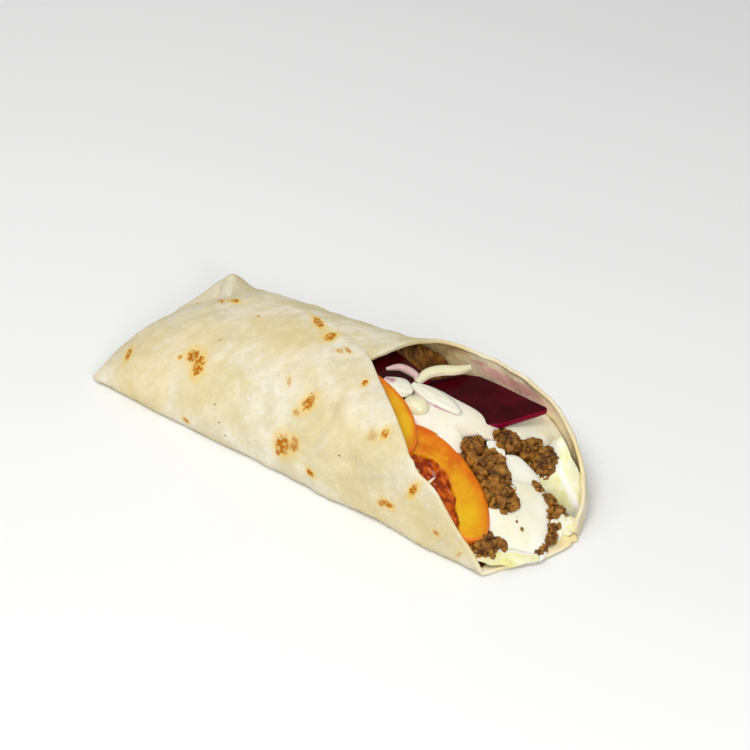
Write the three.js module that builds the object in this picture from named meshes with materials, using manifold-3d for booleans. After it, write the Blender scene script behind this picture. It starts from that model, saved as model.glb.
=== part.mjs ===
// A shawarma wrap: a flour tortilla folded like an envelope round its filling.
// Millimetres, +Z up. +X runs from the closed end to the open mouth, +Y to the far side.
// While it is built, the near fold lies on Y = 0 and the wrap stands on Z = 0.
import * as THREE from 'three';
import { mergeVertices } from 'three/addons/utils/BufferGeometryUtils.js';
import Module from 'manifold-3d';

// ---------- driving dimensions, mm ----------
const TORTILLA = { thick: 1.8, layerGap: 0.5 };          // one sheet, and the air between two layers
const NEAR_FLAP = { apexX: -35, reach: 72.5, radius: 166 };  // round free edge, measured along the sheet
// How far the flap's free edge is drawn in, with a small kink near x 67.
const FLAP_DENT = [[14, 0], [34, 2.5], [47, 3.8], [60, 4.7], [67, 7], [70, 6.6], [75, 4.3], [80, 2.2],
  [92, 2.2], [99, 0]];
const CORNER_X = 102;                                    // where the near fold runs out at the mouth
const MOUTH_X = 119;                                     // the lower layer's rounded end
const TOE = { x: -106, length: 11, squeeze: 0.3 };       // the closed end, and how flat it is pressed
const CUT_GAP = 0.35;                                    // air between touching pieces
const MERGE = 2e-3;                                      // vertices closer than this are one
const SCRAP = 12;                                        // cubic mm; smaller cut-off bits are dropped

// The far wall's upper part is drawn back and down along WALL_WAY, so that it stands upright at the mouth.
const WALL_WAY = [-0.496, 0.64, -0.588];
const WALL_INSET = 0.5;                                  // how far inside the far fold it stops
const WALL_RISE = 8;                                     // height above the far fold over which it sets in
const WALL_DRAWN = [[20, 0], [30, 7], [40, 12], [65, 12], [80, 9], [92, 5], [108, 3], [116, 0]];

// Values along the wrap, each a few [x, value] pairs joined by a smooth curve.
const CREST_Z = [[-106, 11], [-95, 15.5], [-86, 21], [-75, 26], [-46, 33], [-21, 38], [-3, 41], [12, 43],
  [35, 45], [63, 44], [81, 40], [96, 34], [109, 26]];
const CREST_Y = [[-106, 45], [-46, 46], [-21, 44], [12, 36], [35, 27], [63, 20], [96, 15]];
const NEAR_SQUARENESS = [[-102, 1.8], [-46, 2], [12, 2.2], [35, 2.7], [63, 3.4], [96, 3.2], [109, 2]];
const WIDTH = [[-106, 80], [-78, 82], [60, 82], [82, 80], [96, 73], [108, 62], [114.5, 52.5], [119, 40]];
const NEAR_FOLD_Z = [[-106, 4], [-46, 4.5], [63, 4.5], [96, 3], [109, 1.5], [119, 0.9]];
const FAR_FOLD_Z = [[-106, 8], [-78, 10], [-21, 13], [35, 15], [63, 15], [82, 13], [96, 9], [109, 4],
  [119, 1]];
const FAR_CREST_Z = [[-106, 24], [-100, 25], [-92, 23], [-84, 21.5], [-74, 23.5], [-46, 30], [-21, 35],
  [-3, 38], [12, 40.2], [26, 42], [48, 46], [67, 45], [82, 41], [96, 36], [108, 29], [114.5, 20], [117, 9],
  [119, 2]];
const FAR_CREST_Y = [[-106, 72], [-80, 64], [-46, 52], [12, 48], [35, 60], [82, 60], [96, 55], [108, 48],
  [119, 33]];
const FAR_REACH = [[-106, 150], [-21, 162], [5, 166], [12, 158], [18, 143], [24, 129], [30, 121], [54, 118],
  [67, 118], [82, 111], [92, 100], [100, 92], [108, 78], [114.5, 62], [117, 51], [119, 40]];
const LOWER_LIP = [[102, 0], [106.5, 8.6], [113.6, 19], [117, 26], [119, 32]];

// The closed end's outline: how far it is drawn back at each place along the sheet's section.
const TOE_SHIFT = [[-72, 9], [-60, 6], [-42, 2], [-30, 1.5], [0, 5], [22, 1.5], [36, 1], [54, 5], [72, 10],
  [84, 13], [100, 14], [112, 20], [126, 30], [150, 36]];
const TOE_MIDDLE_Z = [[0, 2], [18, 4], [50, 5], [76, 15]];   // the far corner stands up as an ear

// ---------- small helpers ----------
// A smooth curve through a few [x, value] pairs that never overshoots them.
function along(x, knots) {
  const last = knots.length - 1;
  if (x <= knots[0][0]) return knots[0][1];
  if (x >= knots[last][0]) return knots[last][1];
  let i = 0;
  while (x > knots[i + 1][0]) i++;
  const rise = (j) => (knots[j + 1][1] - knots[j][1]) / (knots[j + 1][0] - knots[j][0]);
  const slope = (j) => {
    if (j === 0 || j === last) return rise(j === 0 ? 0 : last - 1) / 2;
    const [left, right] = [rise(j - 1), rise(j)];
    return left * right <= 0 ? 0 : (2 * left * right) / (left + right);
  };
  const h = knots[i + 1][0] - knots[i][0];
  const u = (x - knots[i][0]) / h;
  const [v0, v1, m0, m1] = [knots[i][1], knots[i + 1][1], slope(i) * h, slope(i + 1) * h];
  return v0 * (2 * u ** 3 - 3 * u ** 2 + 1) + v1 * (3 * u ** 2 - 2 * u ** 3)
    + m0 * (u ** 3 - 2 * u ** 2 + u) + m1 * (u ** 3 - u ** 2);
}

const mix = (a, b, u) => a + (b - a) * u;
const smooth = (a, b, x) => THREE.MathUtils.smoothstep(x, a, b);
const power = (v, e) => Math.pow(Math.max(v, 0), e);

// ---------- the tortilla's section at one place along the wrap ----------
const STEPS = 48;   // points in each quarter of the section

// A quarter of a superellipse as STEPS + 1 points; ease 2 is a true ellipse, more is squarer.
function quarter(point, ease = 2) {
  return Array.from({ length: STEPS + 1 }, (_, i) => {
    const angle = (i / STEPS) * (Math.PI / 2);
    return point(power(Math.cos(angle), 2 / ease), power(Math.sin(angle), 2 / ease));
  });
}

// The near run climbs from the near fold over the crest; the far run goes along the plate,
// round the far fold and back over the filling, one layer lower than the near flap.
function section(x) {
  const [crestZ, crestY, square] = [CREST_Z, CREST_Y, NEAR_SQUARENESS].map((k) => along(x, k));
  const [width, nearZ, farZ] = [WIDTH, NEAR_FOLD_Z, FAR_FOLD_Z].map((k) => along(x, k));
  const [farCrestZ, farCrestY] = [FAR_CREST_Z, FAR_CREST_Y].map((k) => along(x, k));
  const layer = TORTILLA.thick + TORTILLA.layerGap;
  const floor = TORTILLA.thick / 2;
  const nearToe = Math.min(4.5, width / 5);
  const farToe = Math.min(16, width / 3);
  const near = [
    ...quarter((c, s) => [crestY * (1 - c), nearZ + (crestZ - nearZ) * s], square),
    ...quarter((c, s) => [crestY + (width + layer - crestY) * s, farZ + (crestZ - farZ) * c]).slice(1),
  ];
  const far = [
    ...quarter((c, s) => [nearToe * (1 - c), floor + (nearZ - floor) * (1 - s)]),
    ...quarter((c, s) => [width - farToe * (1 - s), farZ - (farZ - floor) * c]),
    ...quarter((c, s) => [farCrestY + (width - farCrestY) * c, farZ + (farCrestZ - farZ) * s]).slice(1),
    ...quarter((c, s) => [farCrestY * (1 - s), nearZ + (farCrestZ - nearZ) * c], 2.4).slice(1),
  ];
  return { near: measured(near), far: measured(far) };
}

// Adds to each point of a run its distance along the run.
function measured(points) {
  let run = 0;
  return points.map(([y, z], i) => {
    if (i > 0) run += Math.hypot(y - points[i - 1][0], z - points[i - 1][1]);
    return [y, z, run];
  });
}

// The point of the section at sheet distance s: negative on the near flap, positive on the rest.
function onSection(sec, s) {
  const run = s < 0 ? sec.near : sec.far;
  const d = Math.abs(s);
  let i = 0;
  while (i < run.length - 2 && d > run[i + 1][2]) i++;
  const u = Math.min(1, (d - run[i][2]) / (run[i + 1][2] - run[i][2] || 1));
  return [mix(run[i][0], run[i + 1][0], u), mix(run[i][1], run[i + 1][1], u)];
}

// Sheet distance of the near free edge: the flap's arc, then the lower layer's lip at the mouth.
function nearEdge(x) {
  if (x >= CORNER_X) return along(x, LOWER_LIP);
  const { apexX, reach, radius } = NEAR_FLAP;
  const dent = along(x, FLAP_DENT);
  return radius - reach - Math.sqrt(Math.max(radius ** 2 - (x - apexX) ** 2, 0)) + dent;
}

// Rows of the sheet at x, closer together where the section bends.
function sheetRows(x, count) {
  const sec = section(x);
  const [from, to] = [nearEdge(x), along(x, FAR_REACH)];
  const fine = 240;
  const points = Array.from({ length: fine + 1 }, (_, i) => onSection(sec, mix(from, to, i / fine)));
  const heading = (i) => Math.atan2(points[i + 1][1] - points[i][1], points[i + 1][0] - points[i][0]);
  const weight = [0];
  for (let i = 0; i < fine; i++) {
    const turn = i === 0 ? 0 : Math.abs(Math.sin((heading(i) - heading(i - 1)) / 2)) * 2;
    weight.push(weight[i] + (to - from) / fine + 16 * turn);
  }
  return Array.from({ length: count + 1 }, (_, j) => {
    const goal = (weight[fine] * j) / count;
    let i = 0;
    while (i < fine - 1 && goal > weight[i + 1]) i++;
    const u = (goal - weight[i]) / (weight[i + 1] - weight[i]);
    return mix(from, to, (i + u) / fine);
  });
}

// One point of the sheet's middle surface, with the closed end pressed flat and drawn back.
function sheetPoint(x, s, sec) {
  const [y, z] = onSection(sec, s);
  const toeStart = TOE.x + TOE.length;
  const depth = Math.min(1, Math.max(0, (toeStart - x) / TOE.length));
  const open = mix(TOE.squeeze, 1, Math.sqrt(1 - depth ** 2));
  const middle = along(y, TOE_MIDDLE_Z);
  const shift = along(s, TOE_SHIFT) * (1 - smooth(TOE.x, TOE.x + 50, x));
  const point = new THREE.Vector3(x + shift, y, middle + (z - middle) * open);
  const foldZ = along(x, FAR_FOLD_Z);
  const free = Math.max(0, (along(x, WIDTH) - WALL_INSET - y) / WALL_WAY[1]);
  const drawn = s > 0 ? Math.min(along(x, WALL_DRAWN) * smooth(foldZ, foldZ + WALL_RISE, z), free) : 0;
  return point.addScaledVector(new THREE.Vector3(...WALL_WAY), drawn);
}

// ---------- solids from grids ----------
// A closed solid between two grids of the same size, with its four sides closed.
function solidBetween(outer, inner) {
  const [rows, columns] = [outer.length, outer[0].length];
  const positions = [...outer.flat(), ...inner.flat()].flatMap((p) => [p.x, p.y, p.z]);
  const index = [];
  const at = (side, i, j) => side * rows * columns + i * columns + j;
  const quad = (a, b, c, d) => index.push(a, b, c, a, c, d);
  for (let i = 0; i < rows - 1; i++) {
    for (let j = 0; j < columns - 1; j++) {
      quad(at(0, i, j), at(0, i + 1, j), at(0, i + 1, j + 1), at(0, i, j + 1));
      quad(at(1, i, j), at(1, i, j + 1), at(1, i + 1, j + 1), at(1, i + 1, j));
    }
  }
  const [right, end] = [columns - 1, rows - 1];
  for (let i = 0; i < end; i++) {
    quad(at(0, i, 0), at(1, i, 0), at(1, i + 1, 0), at(0, i + 1, 0));
    quad(at(0, i + 1, right), at(1, i + 1, right), at(1, i, right), at(0, i, right));
  }
  for (let j = 0; j < right; j++) {
    quad(at(0, 0, j + 1), at(1, 0, j + 1), at(1, 0, j), at(0, 0, j));
    quad(at(0, end, j), at(1, end, j), at(1, end, j + 1), at(0, end, j + 1));
  }
  const geometry = new THREE.BufferGeometry();
  geometry.setAttribute('position', new THREE.Float32BufferAttribute(positions, 3));
  geometry.setIndex(index);
  return mergeVertices(geometry, 1e-4);
}

// Unit normals of a grid of points, from the differences of their neighbours.
function gridNormals(grid) {
  const [rows, columns] = [grid.length, grid[0].length];
  const pick = (i, j) => grid[Math.min(Math.max(i, 0), rows - 1)][Math.min(Math.max(j, 0), columns - 1)];
  return grid.map((row, i) => row.map((_, j) => {
    const alongRows = pick(i + 1, j).clone().sub(pick(i - 1, j));
    const alongColumns = pick(i, j + 1).clone().sub(pick(i, j - 1));
    return alongRows.cross(alongColumns).normalize();
  }));
}

// A sheet of the given thickness round a grid of middle points, kept above the plate.
function thickSheet(grid, thick) {
  const normals = gridNormals(grid);
  const moved = (d) => grid.map((row, i) => row.map((p, j) => {
    const q = p.clone().addScaledVector(normals[i][j], d);
    return q.setZ(Math.max(q.z, 0));
  }));
  return solidBetween(moved(thick / 2), moved(-thick / 2));
}

// ---------- tortilla ----------
const SHEET_ROWS = 26;
const TOE_ANGLES = [88, 62, 34];
const SHEET_X = [
  ...TOE_ANGLES.map((angle) => TOE.x + TOE.length * (1 - Math.sin(THREE.MathUtils.degToRad(angle)))),
  -95, -90, -83, -73, -61, -49, -37, -25, -13, -2, 8, 16, 23, 30, 39, 49, 59, 69, 78, 86, 93, 99,
  102, 105, 108.5, 112, 115, 117, MOUTH_X,
];

function tortillaGrid() {
  return SHEET_X.map((x) => {
    const sec = section(x);
    return sheetRows(x, SHEET_ROWS).map((s) => sheetPoint(x, s, sec));
  });
}

// The closed end: a half-round fold that joins the topmost layer's end to the lowest layer's end.
const FOLD = { stations: 11, bends: 4, inset: 2.5 };

function toeFold() {
  const x = SHEET_X[0];
  const sec = section(x);
  const end = Array.from({ length: 121 }, (_, i) => {
    const s = mix(nearEdge(x), along(x, FAR_REACH), i / 120);
    return { s, point: sheetPoint(x, s, sec) };
  });
  const widest = end.reduce((best, e) => (e.point.y > best.point.y ? e : best));
  const nearest = (list, y) => {
    const away = (e) => Math.abs(e.point.y - y);
    return list.reduce((best, e) => (away(e) < away(best) ? e : best));
  };
  const flap = end.filter((e) => e.s <= 0);
  const bottom = end.filter((e) => e.s > 0 && e.s < widest.s);
  const back = end.filter((e) => e.s >= widest.s);
  const flapEnd = flap[0].point.y;
  return Array.from({ length: FOLD.stations }, (_, i) => {
    const y = mix(FOLD.inset, widest.point.y - FOLD.inset, i / (FOLD.stations - 1));
    const top = nearest(y < flapEnd ? flap : back, y).point;
    const low = nearest(bottom, y).point;
    const centre = top.clone().add(low).multiplyScalar(0.5).setY(y);
    const half = top.clone().sub(low).multiplyScalar(0.5).setY(0);
    return Array.from({ length: FOLD.bends + 1 }, (_unused, k) => {
      const bend = (k / FOLD.bends) * Math.PI;
      const out = new THREE.Vector3(-half.length() * Math.sin(bend), 0, 0);
      return centre.clone().addScaledVector(half, Math.cos(bend)).add(out);
    });
  });
}

// ---------- filling: where it lies ----------
// Height of the filling's open face in the mouth, highest along the middle.
const HEAP_Z = [[8, 39], [30, 36.5], [45, 34.5], [60, 31], [75, 25], [90, 17], [100, 10.5], [110, 5],
  [118, 3]];
const HEAP_CROWN = { y: 40, half: 35, drop: 4 };
const COVER = { from: 2, to: 8, lift: 30 };              // behind a free edge it fills up to the flap
const CORE = { toX: 102, sink: 6, wallGap: 1.5 };        // the filling's body below the open face
const ROOM = { toX: 118.5, rise: 12, wallGap: 0.8 };     // where the pieces on top may reach
const TOE_ROOM_Y = [[-93, 44], [-80, 62], [-64, 84]];    // kept clear of the drawn-back layers

function heapZ(x, y) {
  return along(x, HEAP_Z) - HEAP_CROWN.drop * ((y - HEAP_CROWN.y) / HEAP_CROWN.half) ** 2;
}

// ---------- geometry kit for the filling ----------
// Turns and moves a geometry built round the origin: its +Z becomes normal, its +X points along ahead.
function placed(geometry, [x, y, z], normal, ahead) {
  const up = new THREE.Vector3(...normal).normalize();
  const side = new THREE.Vector3().crossVectors(up, new THREE.Vector3(...ahead)).normalize();
  const front = new THREE.Vector3().crossVectors(side, up);
  const matrix = new THREE.Matrix4().makeBasis(front, side, up).setPosition(x, y, z);
  return geometry.applyMatrix4(matrix);
}

// A closed solid on a polar grid: upper and lower give a point for ring 0..1 and angle.
function polarSolid(rings, spokes, upper, lower) {
  const positions = [];
  const index = [];
  const face = (point) => {
    const start = positions.length / 3;
    positions.push(...point(0, 0).toArray());
    for (let i = 1; i <= rings; i++) {
      for (let k = 0; k < spokes; k++) {
        positions.push(...point(i / rings, (k / spokes) * 2 * Math.PI).toArray());
      }
    }
    return (i, k) => (i === 0 ? start : start + 1 + (i - 1) * spokes + (k % spokes));
  };
  const [top, base] = [face(upper), face(lower)];
  for (let k = 0; k < spokes; k++) {
    index.push(top(0, 0), top(1, k), top(1, k + 1), base(0, 0), base(1, k + 1), base(1, k));
    for (let i = 1; i < rings; i++) {
      index.push(top(i, k), top(i + 1, k), top(i + 1, k + 1), top(i, k), top(i + 1, k + 1), top(i, k + 1));
      index.push(base(i, k), base(i + 1, k + 1), base(i + 1, k));
      index.push(base(i, k), base(i, k + 1), base(i + 1, k + 1));
    }
    index.push(top(rings, k), base(rings, k), base(rings, k + 1));
    index.push(top(rings, k), base(rings, k + 1), top(rings, k + 1));
  }
  const geometry = new THREE.BufferGeometry();
  geometry.setAttribute('position', new THREE.Float32BufferAttribute(positions, 3));
  geometry.setIndex(index);
  return geometry;
}

// Slow, even waves used to make a form irregular; the same for the same seed.
function waver(p, size, seed) {
  return (Math.sin(p.x / size + seed * 1.7) * Math.sin(p.y / size + seed * 2.9)
    + Math.sin(p.y / size + seed * 0.8) * Math.sin(p.z / size + seed * 3.7)
    + Math.sin(p.z / size + seed * 2.3) * Math.sin(p.x / size + seed * 1.1)) / 1.5;
}

// A crumbly lump: a ball stretched to its radii and pushed in and out.
function lump(centre, radii, seed, detail, rough = 0.16) {
  const ball = new THREE.IcosahedronGeometry(1, detail);
  ball.deleteAttribute('normal');
  ball.deleteAttribute('uv');
  const geometry = mergeVertices(ball, 1e-4);
  const position = geometry.attributes.position;
  const p = new THREE.Vector3();
  for (let i = 0; i < position.count; i++) {
    p.fromBufferAttribute(position, i);
    p.multiplyScalar(1 + rough * waver(p, 0.34, seed) + 0.5 * rough * waver(p, 0.17, seed + 5));
    position.setXYZ(i, centre[0] + p.x * radii[0], centre[1] + p.y * radii[1], centre[2] + p.z * radii[2]);
  }
  return geometry;
}

// An oval slice with a raised wall round its softer middle.
function tomatoSlice({ long, wide, thick, centre, normal, ahead }) {
  const half = thick / 2;
  const edge = 1.2 / wide;
  const profile = [[0, -half], [1 - edge, -half], [1, -half * 0.45], [1, half * 0.45],
    [1 - edge, half], [TOMATO_WALL + edge, half], [TOMATO_WALL, half - 0.7], [0, half - 0.5]];
  const turned = new THREE.LatheGeometry(profile.map(([r, z]) => new THREE.Vector2(r, z)), 26);
  turned.rotateX(Math.PI / 2);
  turned.scale(long, wide, 1);
  turned.deleteAttribute('normal');
  turned.deleteAttribute('uv');
  return placed(mergeVertices(turned, 1e-4), centre, normal, ahead);
}

// A slab of beet with the given corners, or else half-round with its straight side along ahead.
const BEVEL = 0.4;
function beetSlice({ corners, length, depth, thick, centre, normal, ahead }) {
  const shape = new THREE.Shape();
  if (corners) {
    shape.setFromPoints(corners.map((corner) => new THREE.Vector2(...corner)));
  } else {
    shape.moveTo(-length / 2, 0);
    shape.absellipse(0, 0, length / 2, depth, Math.PI, 2 * Math.PI, false);
  }
  shape.closePath();
  const slab = new THREE.ExtrudeGeometry(shape, {
    depth: thick - 2 * BEVEL,
    bevelThickness: BEVEL,
    bevelSize: BEVEL,
    bevelOffset: -BEVEL,
    bevelSegments: 1,
    curveSegments: 14,
  });
  slab.translate(0, 0, -(thick - 2 * BEVEL) / 2);
  slab.deleteAttribute('normal');
  slab.deleteAttribute('uv');
  return placed(mergeVertices(slab, 1e-4), centre, normal, ahead);
}

// A curved band, such as an onion's layer: it follows a path and bows across its width.
function band({ path, width, thick, bow, lean, steps = 7 }) {
  const curve = new THREE.CatmullRomCurve3(path.map((p) => new THREE.Vector3(...p)));
  const across = 4;
  const leanAxis = new THREE.Vector3(...lean).normalize();
  const middle = Array.from({ length: steps + 1 }, (_, i) => {
    const u = i / steps;
    const [p, t] = [curve.getPoint(u), curve.getTangent(u)];
    const side = leanAxis.clone().addScaledVector(t, -leanAxis.dot(t)).normalize();
    const up = new THREE.Vector3().crossVectors(t, side);
    const taper = 0.3 + 0.7 * Math.sin(Math.PI * Math.min(Math.max(u, 0.04), 0.96)) ** 0.6;
    return Array.from({ length: across + 1 }, (_unused, j) => {
      const v = (2 * j) / across - 1;
      const bowed = p.clone().addScaledVector(up, bow * (1 - v * v));
      return bowed.addScaledVector(side, (v * width * taper) / 2);
    });
  });
  return thickSheet(middle, thick);
}

// A thin wavy leaf, its middle lifted and its rim ruffled.
function leaf({ centre, normal, ahead, length, width, thick, ruffle, folds, seed }) {
  const surface = (offset) => (ring, angle) => {
    const uneven = 1 + 0.09 * Math.sin(3 * angle + seed) + 0.05 * Math.sin(7 * angle + 2 * seed);
    const x = (length / 2) * ring * uneven * Math.cos(angle);
    const y = (width / 2) * ring * uneven * Math.sin(angle);
    const wave = ruffle * ring ** 2 * Math.sin(folds * angle + seed) + 0.12 * width * (1 - ring ** 2);
    return new THREE.Vector3(x, y, wave + offset);
  };
  return placed(polarSolid(3, 15, surface(thick / 2), surface(-thick / 2)), centre, normal, ahead);
}

// A pool of sauce lying on the filling: an uneven oval with a rounded top.
function pool({ x, y, along: half, across, turn, rise, sink, seed }) {
  const [c, s] = [Math.cos(turn), Math.sin(turn)];
  const surface = (side) => (ring, angle) => {
    const uneven = 1 + 0.12 * Math.sin(3 * angle + seed) + 0.08 * Math.sin(5 * angle + 2.3 * seed);
    const [u, v] = [half * ring * uneven * Math.cos(angle), across * ring * uneven * Math.sin(angle)];
    const [px, py] = [x + u * c - v * s, y + u * s + v * c];
    const dome = Math.sqrt(Math.max(1 - ring ** 2, 0));
    const z = heapZ(px, py) + (side > 0 ? 0.3 + rise * dome : -0.3 - sink * dome);
    return new THREE.Vector3(px, py, z);
  };
  return polarSolid(3, 15, surface(1), surface(-1));
}

const ROOM_X = [-93, -86, -76, -64, -50, -32, -14, 2, 16, 28, 38, 48, 58, 68, 78, 87, 95, 102, 108, 112,
  116];

// The space between the sheet's layers, from behind the closed end to toX at the mouth,
// filled up to the open face plus lift. Where openRoof is true, the far layer only counts behind its free edge.
function spaceInside(toX, lift, wallGap, openRoof) {
  const columns = [...ROOM_X.filter((x) => x < toX - 2), toX];
  const across = 11;
  const faces = columns.map((x) => {
    const sec = section(x);
    const inner = (run, turn) => run.map(([y, z], i) => {
      const next = run[Math.min(i + 1, run.length - 1)];
      const last = run[Math.max(i - 1, 0)];
      const [dy, dz] = [next[0] - last[0], next[1] - last[1]];
      const size = Math.hypot(dy, dz) || 1;
      const depth = TORTILLA.thick / 2 + wallGap;
      return [y + (turn * dz * depth) / size, z - (turn * dy * depth) / size];
    });
    const [near, far] = [inner(sec.near, 1), inner(sec.far, -1)];
    const low = near[0][0] + 1;
    const high = Math.min(Math.max(...far.map((p) => p[0])) - 0.8, along(x, TOE_ROOM_Y));
    const widest = far.findIndex((p) => p[0] >= high);
    const highest = far.reduce((best, p, i) => (p[0] > far[best][0] ? i : best), 0);
    const height = (run, y) => {
      for (let i = 1; i < run.length; i++) {
        const [a, b] = [run[i - 1], run[i]];
        if ((a[0] - y) * (b[0] - y) > 0 || a[0] === b[0]) continue;
        return mix(a[1], b[1], (y - a[0]) / (b[0] - a[0]));
      }
      return null;
    };
    const flapEdge = x < CORNER_X ? onSection(sec, nearEdge(x))[0] : 0;
    const backEdge = onSection(sec, along(x, FAR_REACH))[0];
    const covered = (y) => COVER.lift * Math.max(
      smooth(COVER.from, COVER.to, flapEdge - y),
      smooth(COVER.from, COVER.to, y - backEdge - COVER.to),
    );
    const floorRun = far.slice(0, Math.max(widest, 2) + 1);
    const roofRun = far.slice(highest);
    return Array.from({ length: across + 1 }, (_, j) => {
      const y = mix(low, high, (1 - Math.cos((Math.PI * j) / across)) / 2);
      const bottom = Math.max(height(floorRun, y) ?? 0, TORTILLA.thick + wallGap);
      const inMouth = x > HEAP_Z[0][0];
      const face = inMouth ? heapZ(x, y) + lift + covered(y) : null;
      const farLayer = openRoof && inMouth && y < backEdge ? null : height(roofRun, y);
      const roofs = [height(near, y), farLayer, face];
      const top = Math.min(...roofs.filter((z) => z !== null));
      return [new THREE.Vector3(x, y, Math.max(top, bottom + 0.4)), new THREE.Vector3(x, y, bottom)];
    });
  });
  const [tops, bottoms] = [0, 1].map((side) => faces.map((row) => row.map((pair) => pair[side])));
  return solidBetween(tops, bottoms);
}

// ---------- the pieces, in the order in which they keep their form ----------
const TOMATO_WALL = 0.5;   // where the firm wall starts, as a share of the way to the rim
const TOMATOES = [
  { name: 'tomato_slice_front', long: 27.5, wide: 15, thick: 6, centre: [72.2, 13.1, 21.9],
    normal: [0.42, -0.1, 0.9], ahead: [0.87, -0.24, -0.43], keep: [75, 18, 22] },
  { name: 'tomato_slice_rear', long: 30, wide: 16, thick: 5.5, centre: [30.5, 18.2, 35.3],
    normal: [0.08, -0.17, 0.98], ahead: [0.97, -0.26, -0.12], keep: [38, 22, 35] },
];
// Outline of the front slice in its own plane, and the places of both slices.
const BEET_CORNERS = [[26, -3.2], [10, -2.2], [-6, -1.5], [-13, -4], [-19.5, -11], [-25, -15.2],
  [-22, -18.5], [-14, -21.5], [-6, -24], [2, -24.6], [8, -23.7], [13, -20.5], [17, -15.5], [22, -9]];
const BEETS = [
  { name: 'beet_slice_front', corners: BEET_CORNERS, thick: 3.2, centre: [58.5, 70, 31.8],
    normal: [0.12, -0.16, 1], ahead: [1, 0.14, -0.1], keep: [61, 60, 31] },
  { name: 'beet_slice_rear', length: 42, depth: 24, thick: 3, centre: [19, 57, 35.2],
    normal: [0.08, 0, 1], ahead: [1, -0.2, 0], keep: [20, 50, 37] },
];
const ONIONS = [
  { name: 'onion_arch',
    path: [[48.5, 66, 36.2], [45.7, 60.5, 37], [41.5, 56.1, 37.6], [38.8, 50.6, 37.9], [38.8, 44, 37.2]],
    width: 6, thick: 1.6, bow: 0.8, lean: [0.8, -0.5, -0.1], keep: [41, 56, 38] },
  { name: 'onion_petal_front',
    path: [[38.5, 41.7, 37], [44.3, 41.7, 36.6], [50.1, 41.8, 35.6], [55.1, 42.3, 34.2], [60, 42.9, 32.6]],
    width: 8, thick: 1.8, bow: 1, lean: [0.3, 0.9, 0.1], keep: [48, 42, 36] },
  { name: 'onion_petal_middle',
    path: [[29, 36, 38.6], [33.6, 36.2, 38.6], [37.3, 36.6, 38], [40.5, 37.6, 37.2]],
    width: 9, thick: 1.8, bow: 1, lean: [0.1, 1, 0.1], keep: [34, 36, 38.5] },
  { name: 'onion_sliver',
    path: [[24.7, 42.5, 38.8], [28, 46.1, 39], [31.8, 46.9, 38.8], [36.1, 46.3, 38.4], [38, 44.5, 37.6]],
    width: 2.8, thick: 1.5, bow: 0.4, lean: [0.2, 0.8, 0.4], keep: [30, 46, 39] },
];
// A whole small bulb, showing between the petals.
const BULB = { name: 'onion_bulb', centre: [46, 33.2, 35.4], radii: [5.4, 4.8, 4], keep: [46, 34, 36] };
// The browned crumbs that show in the mouth, each a [middle, radii] pair.
const BEEF = [
  [[72.5, 34.5, 25], [6, 7, 6.5]], [[81, 34, 20], [7, 8.5, 8]], [[90.5, 28, 14.5], [7, 8, 7]],
  [[77.5, 49.5, 21.5], [8, 7.5, 7]], [[85.5, 57, 17.5], [5, 6, 4.5]], [[92.5, 55, 13.5], [8, 9.5, 7]],
  [[97.5, 9.5, 7.5], [7, 7.5, 5]],
];
const BEEF_STRING = { name: 'beef_crumbs_front', keep: [106, 38, 7], lumps: [
  [[96, 44, 13.2], [6, 2.6, 2.4]], [[103, 44, 9.4], [4.4, 3.4, 2.8]], [[107.5, 42, 6.4], [4.5, 6, 3.6]],
  [[111, 36, 4.8], [3.4, 4.5, 2.6]], [[113, 30, 4], [3, 4.6, 2.4]], [[113.5, 23.5, 3.4], [2.6, 4.8, 2]],
] };
const LETTUCE = [
  { name: 'lettuce_right', centre: [102, 56, 13], normal: [0.3, -0.62, 0.7], ahead: [0.7, -0.3, -0.6],
    length: 32, width: 25, thick: 1.1, ruffle: 1.8, folds: 3, seed: 1, keep: [101, 54, 14] },
  { name: 'lettuce_low', centre: [103, 11, 5], normal: [0.25, -0.05, 1], ahead: [0.75, 0.65, -0.2],
    length: 28, width: 12, thick: 1, ruffle: 0.8, folds: 3, seed: 2, keep: [103, 11, 5] },
  { name: 'lettuce_end', centre: [113.5, 39, 4.6], normal: [0.45, -0.3, 0.85], ahead: [0.3, 1, 0.1],
    length: 13, width: 9, thick: 1, ruffle: 0.5, folds: 2, seed: 3, keep: [113.5, 39, 4.6] },
];
const SAUCES = [
  { name: 'sauce_upper', x: 58, y: 39, along: 17, across: 12, turn: 0.1, rise: 2, sink: 3, seed: 1,
    keep: [58, 37, 33] },
  { name: 'sauce_far', x: 84, y: 69, along: 14, across: 10, turn: -0.3, rise: 1.6, sink: 2.5, seed: 2,
    keep: [84, 67, 20] },
  { name: 'sauce_lower', x: 103, y: 28, along: 14, across: 15, turn: 0.3, rise: 3, sink: 3, seed: 3,
    keep: [103, 27, 9] },
];

const FINE_LUMP = 5.6;                                   // a lump longer than this gets a finer ball
const GROWN_GAP = CUT_GAP * 1.3;                         // vertex normals are slightly short of the faces

const wasm = await Module();
wasm.setup();

// The solid that a closed geometry bounds.
function toSolid(geometry) {
  return new wasm.Manifold(new wasm.Mesh({
    numProp: 3,
    vertProperties: new Float32Array(geometry.attributes.position.array),
    triVerts: new Uint32Array(geometry.index.array),
  }));
}

function toGeometry(solid) {
  const { vertProperties, triVerts } = solid.getMesh();
  const geometry = new THREE.BufferGeometry();
  geometry.setAttribute('position', new THREE.Float32BufferAttribute(Array.from(vertProperties), 3));
  geometry.setIndex(Array.from(triVerts));
  return geometry;
}

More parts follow.
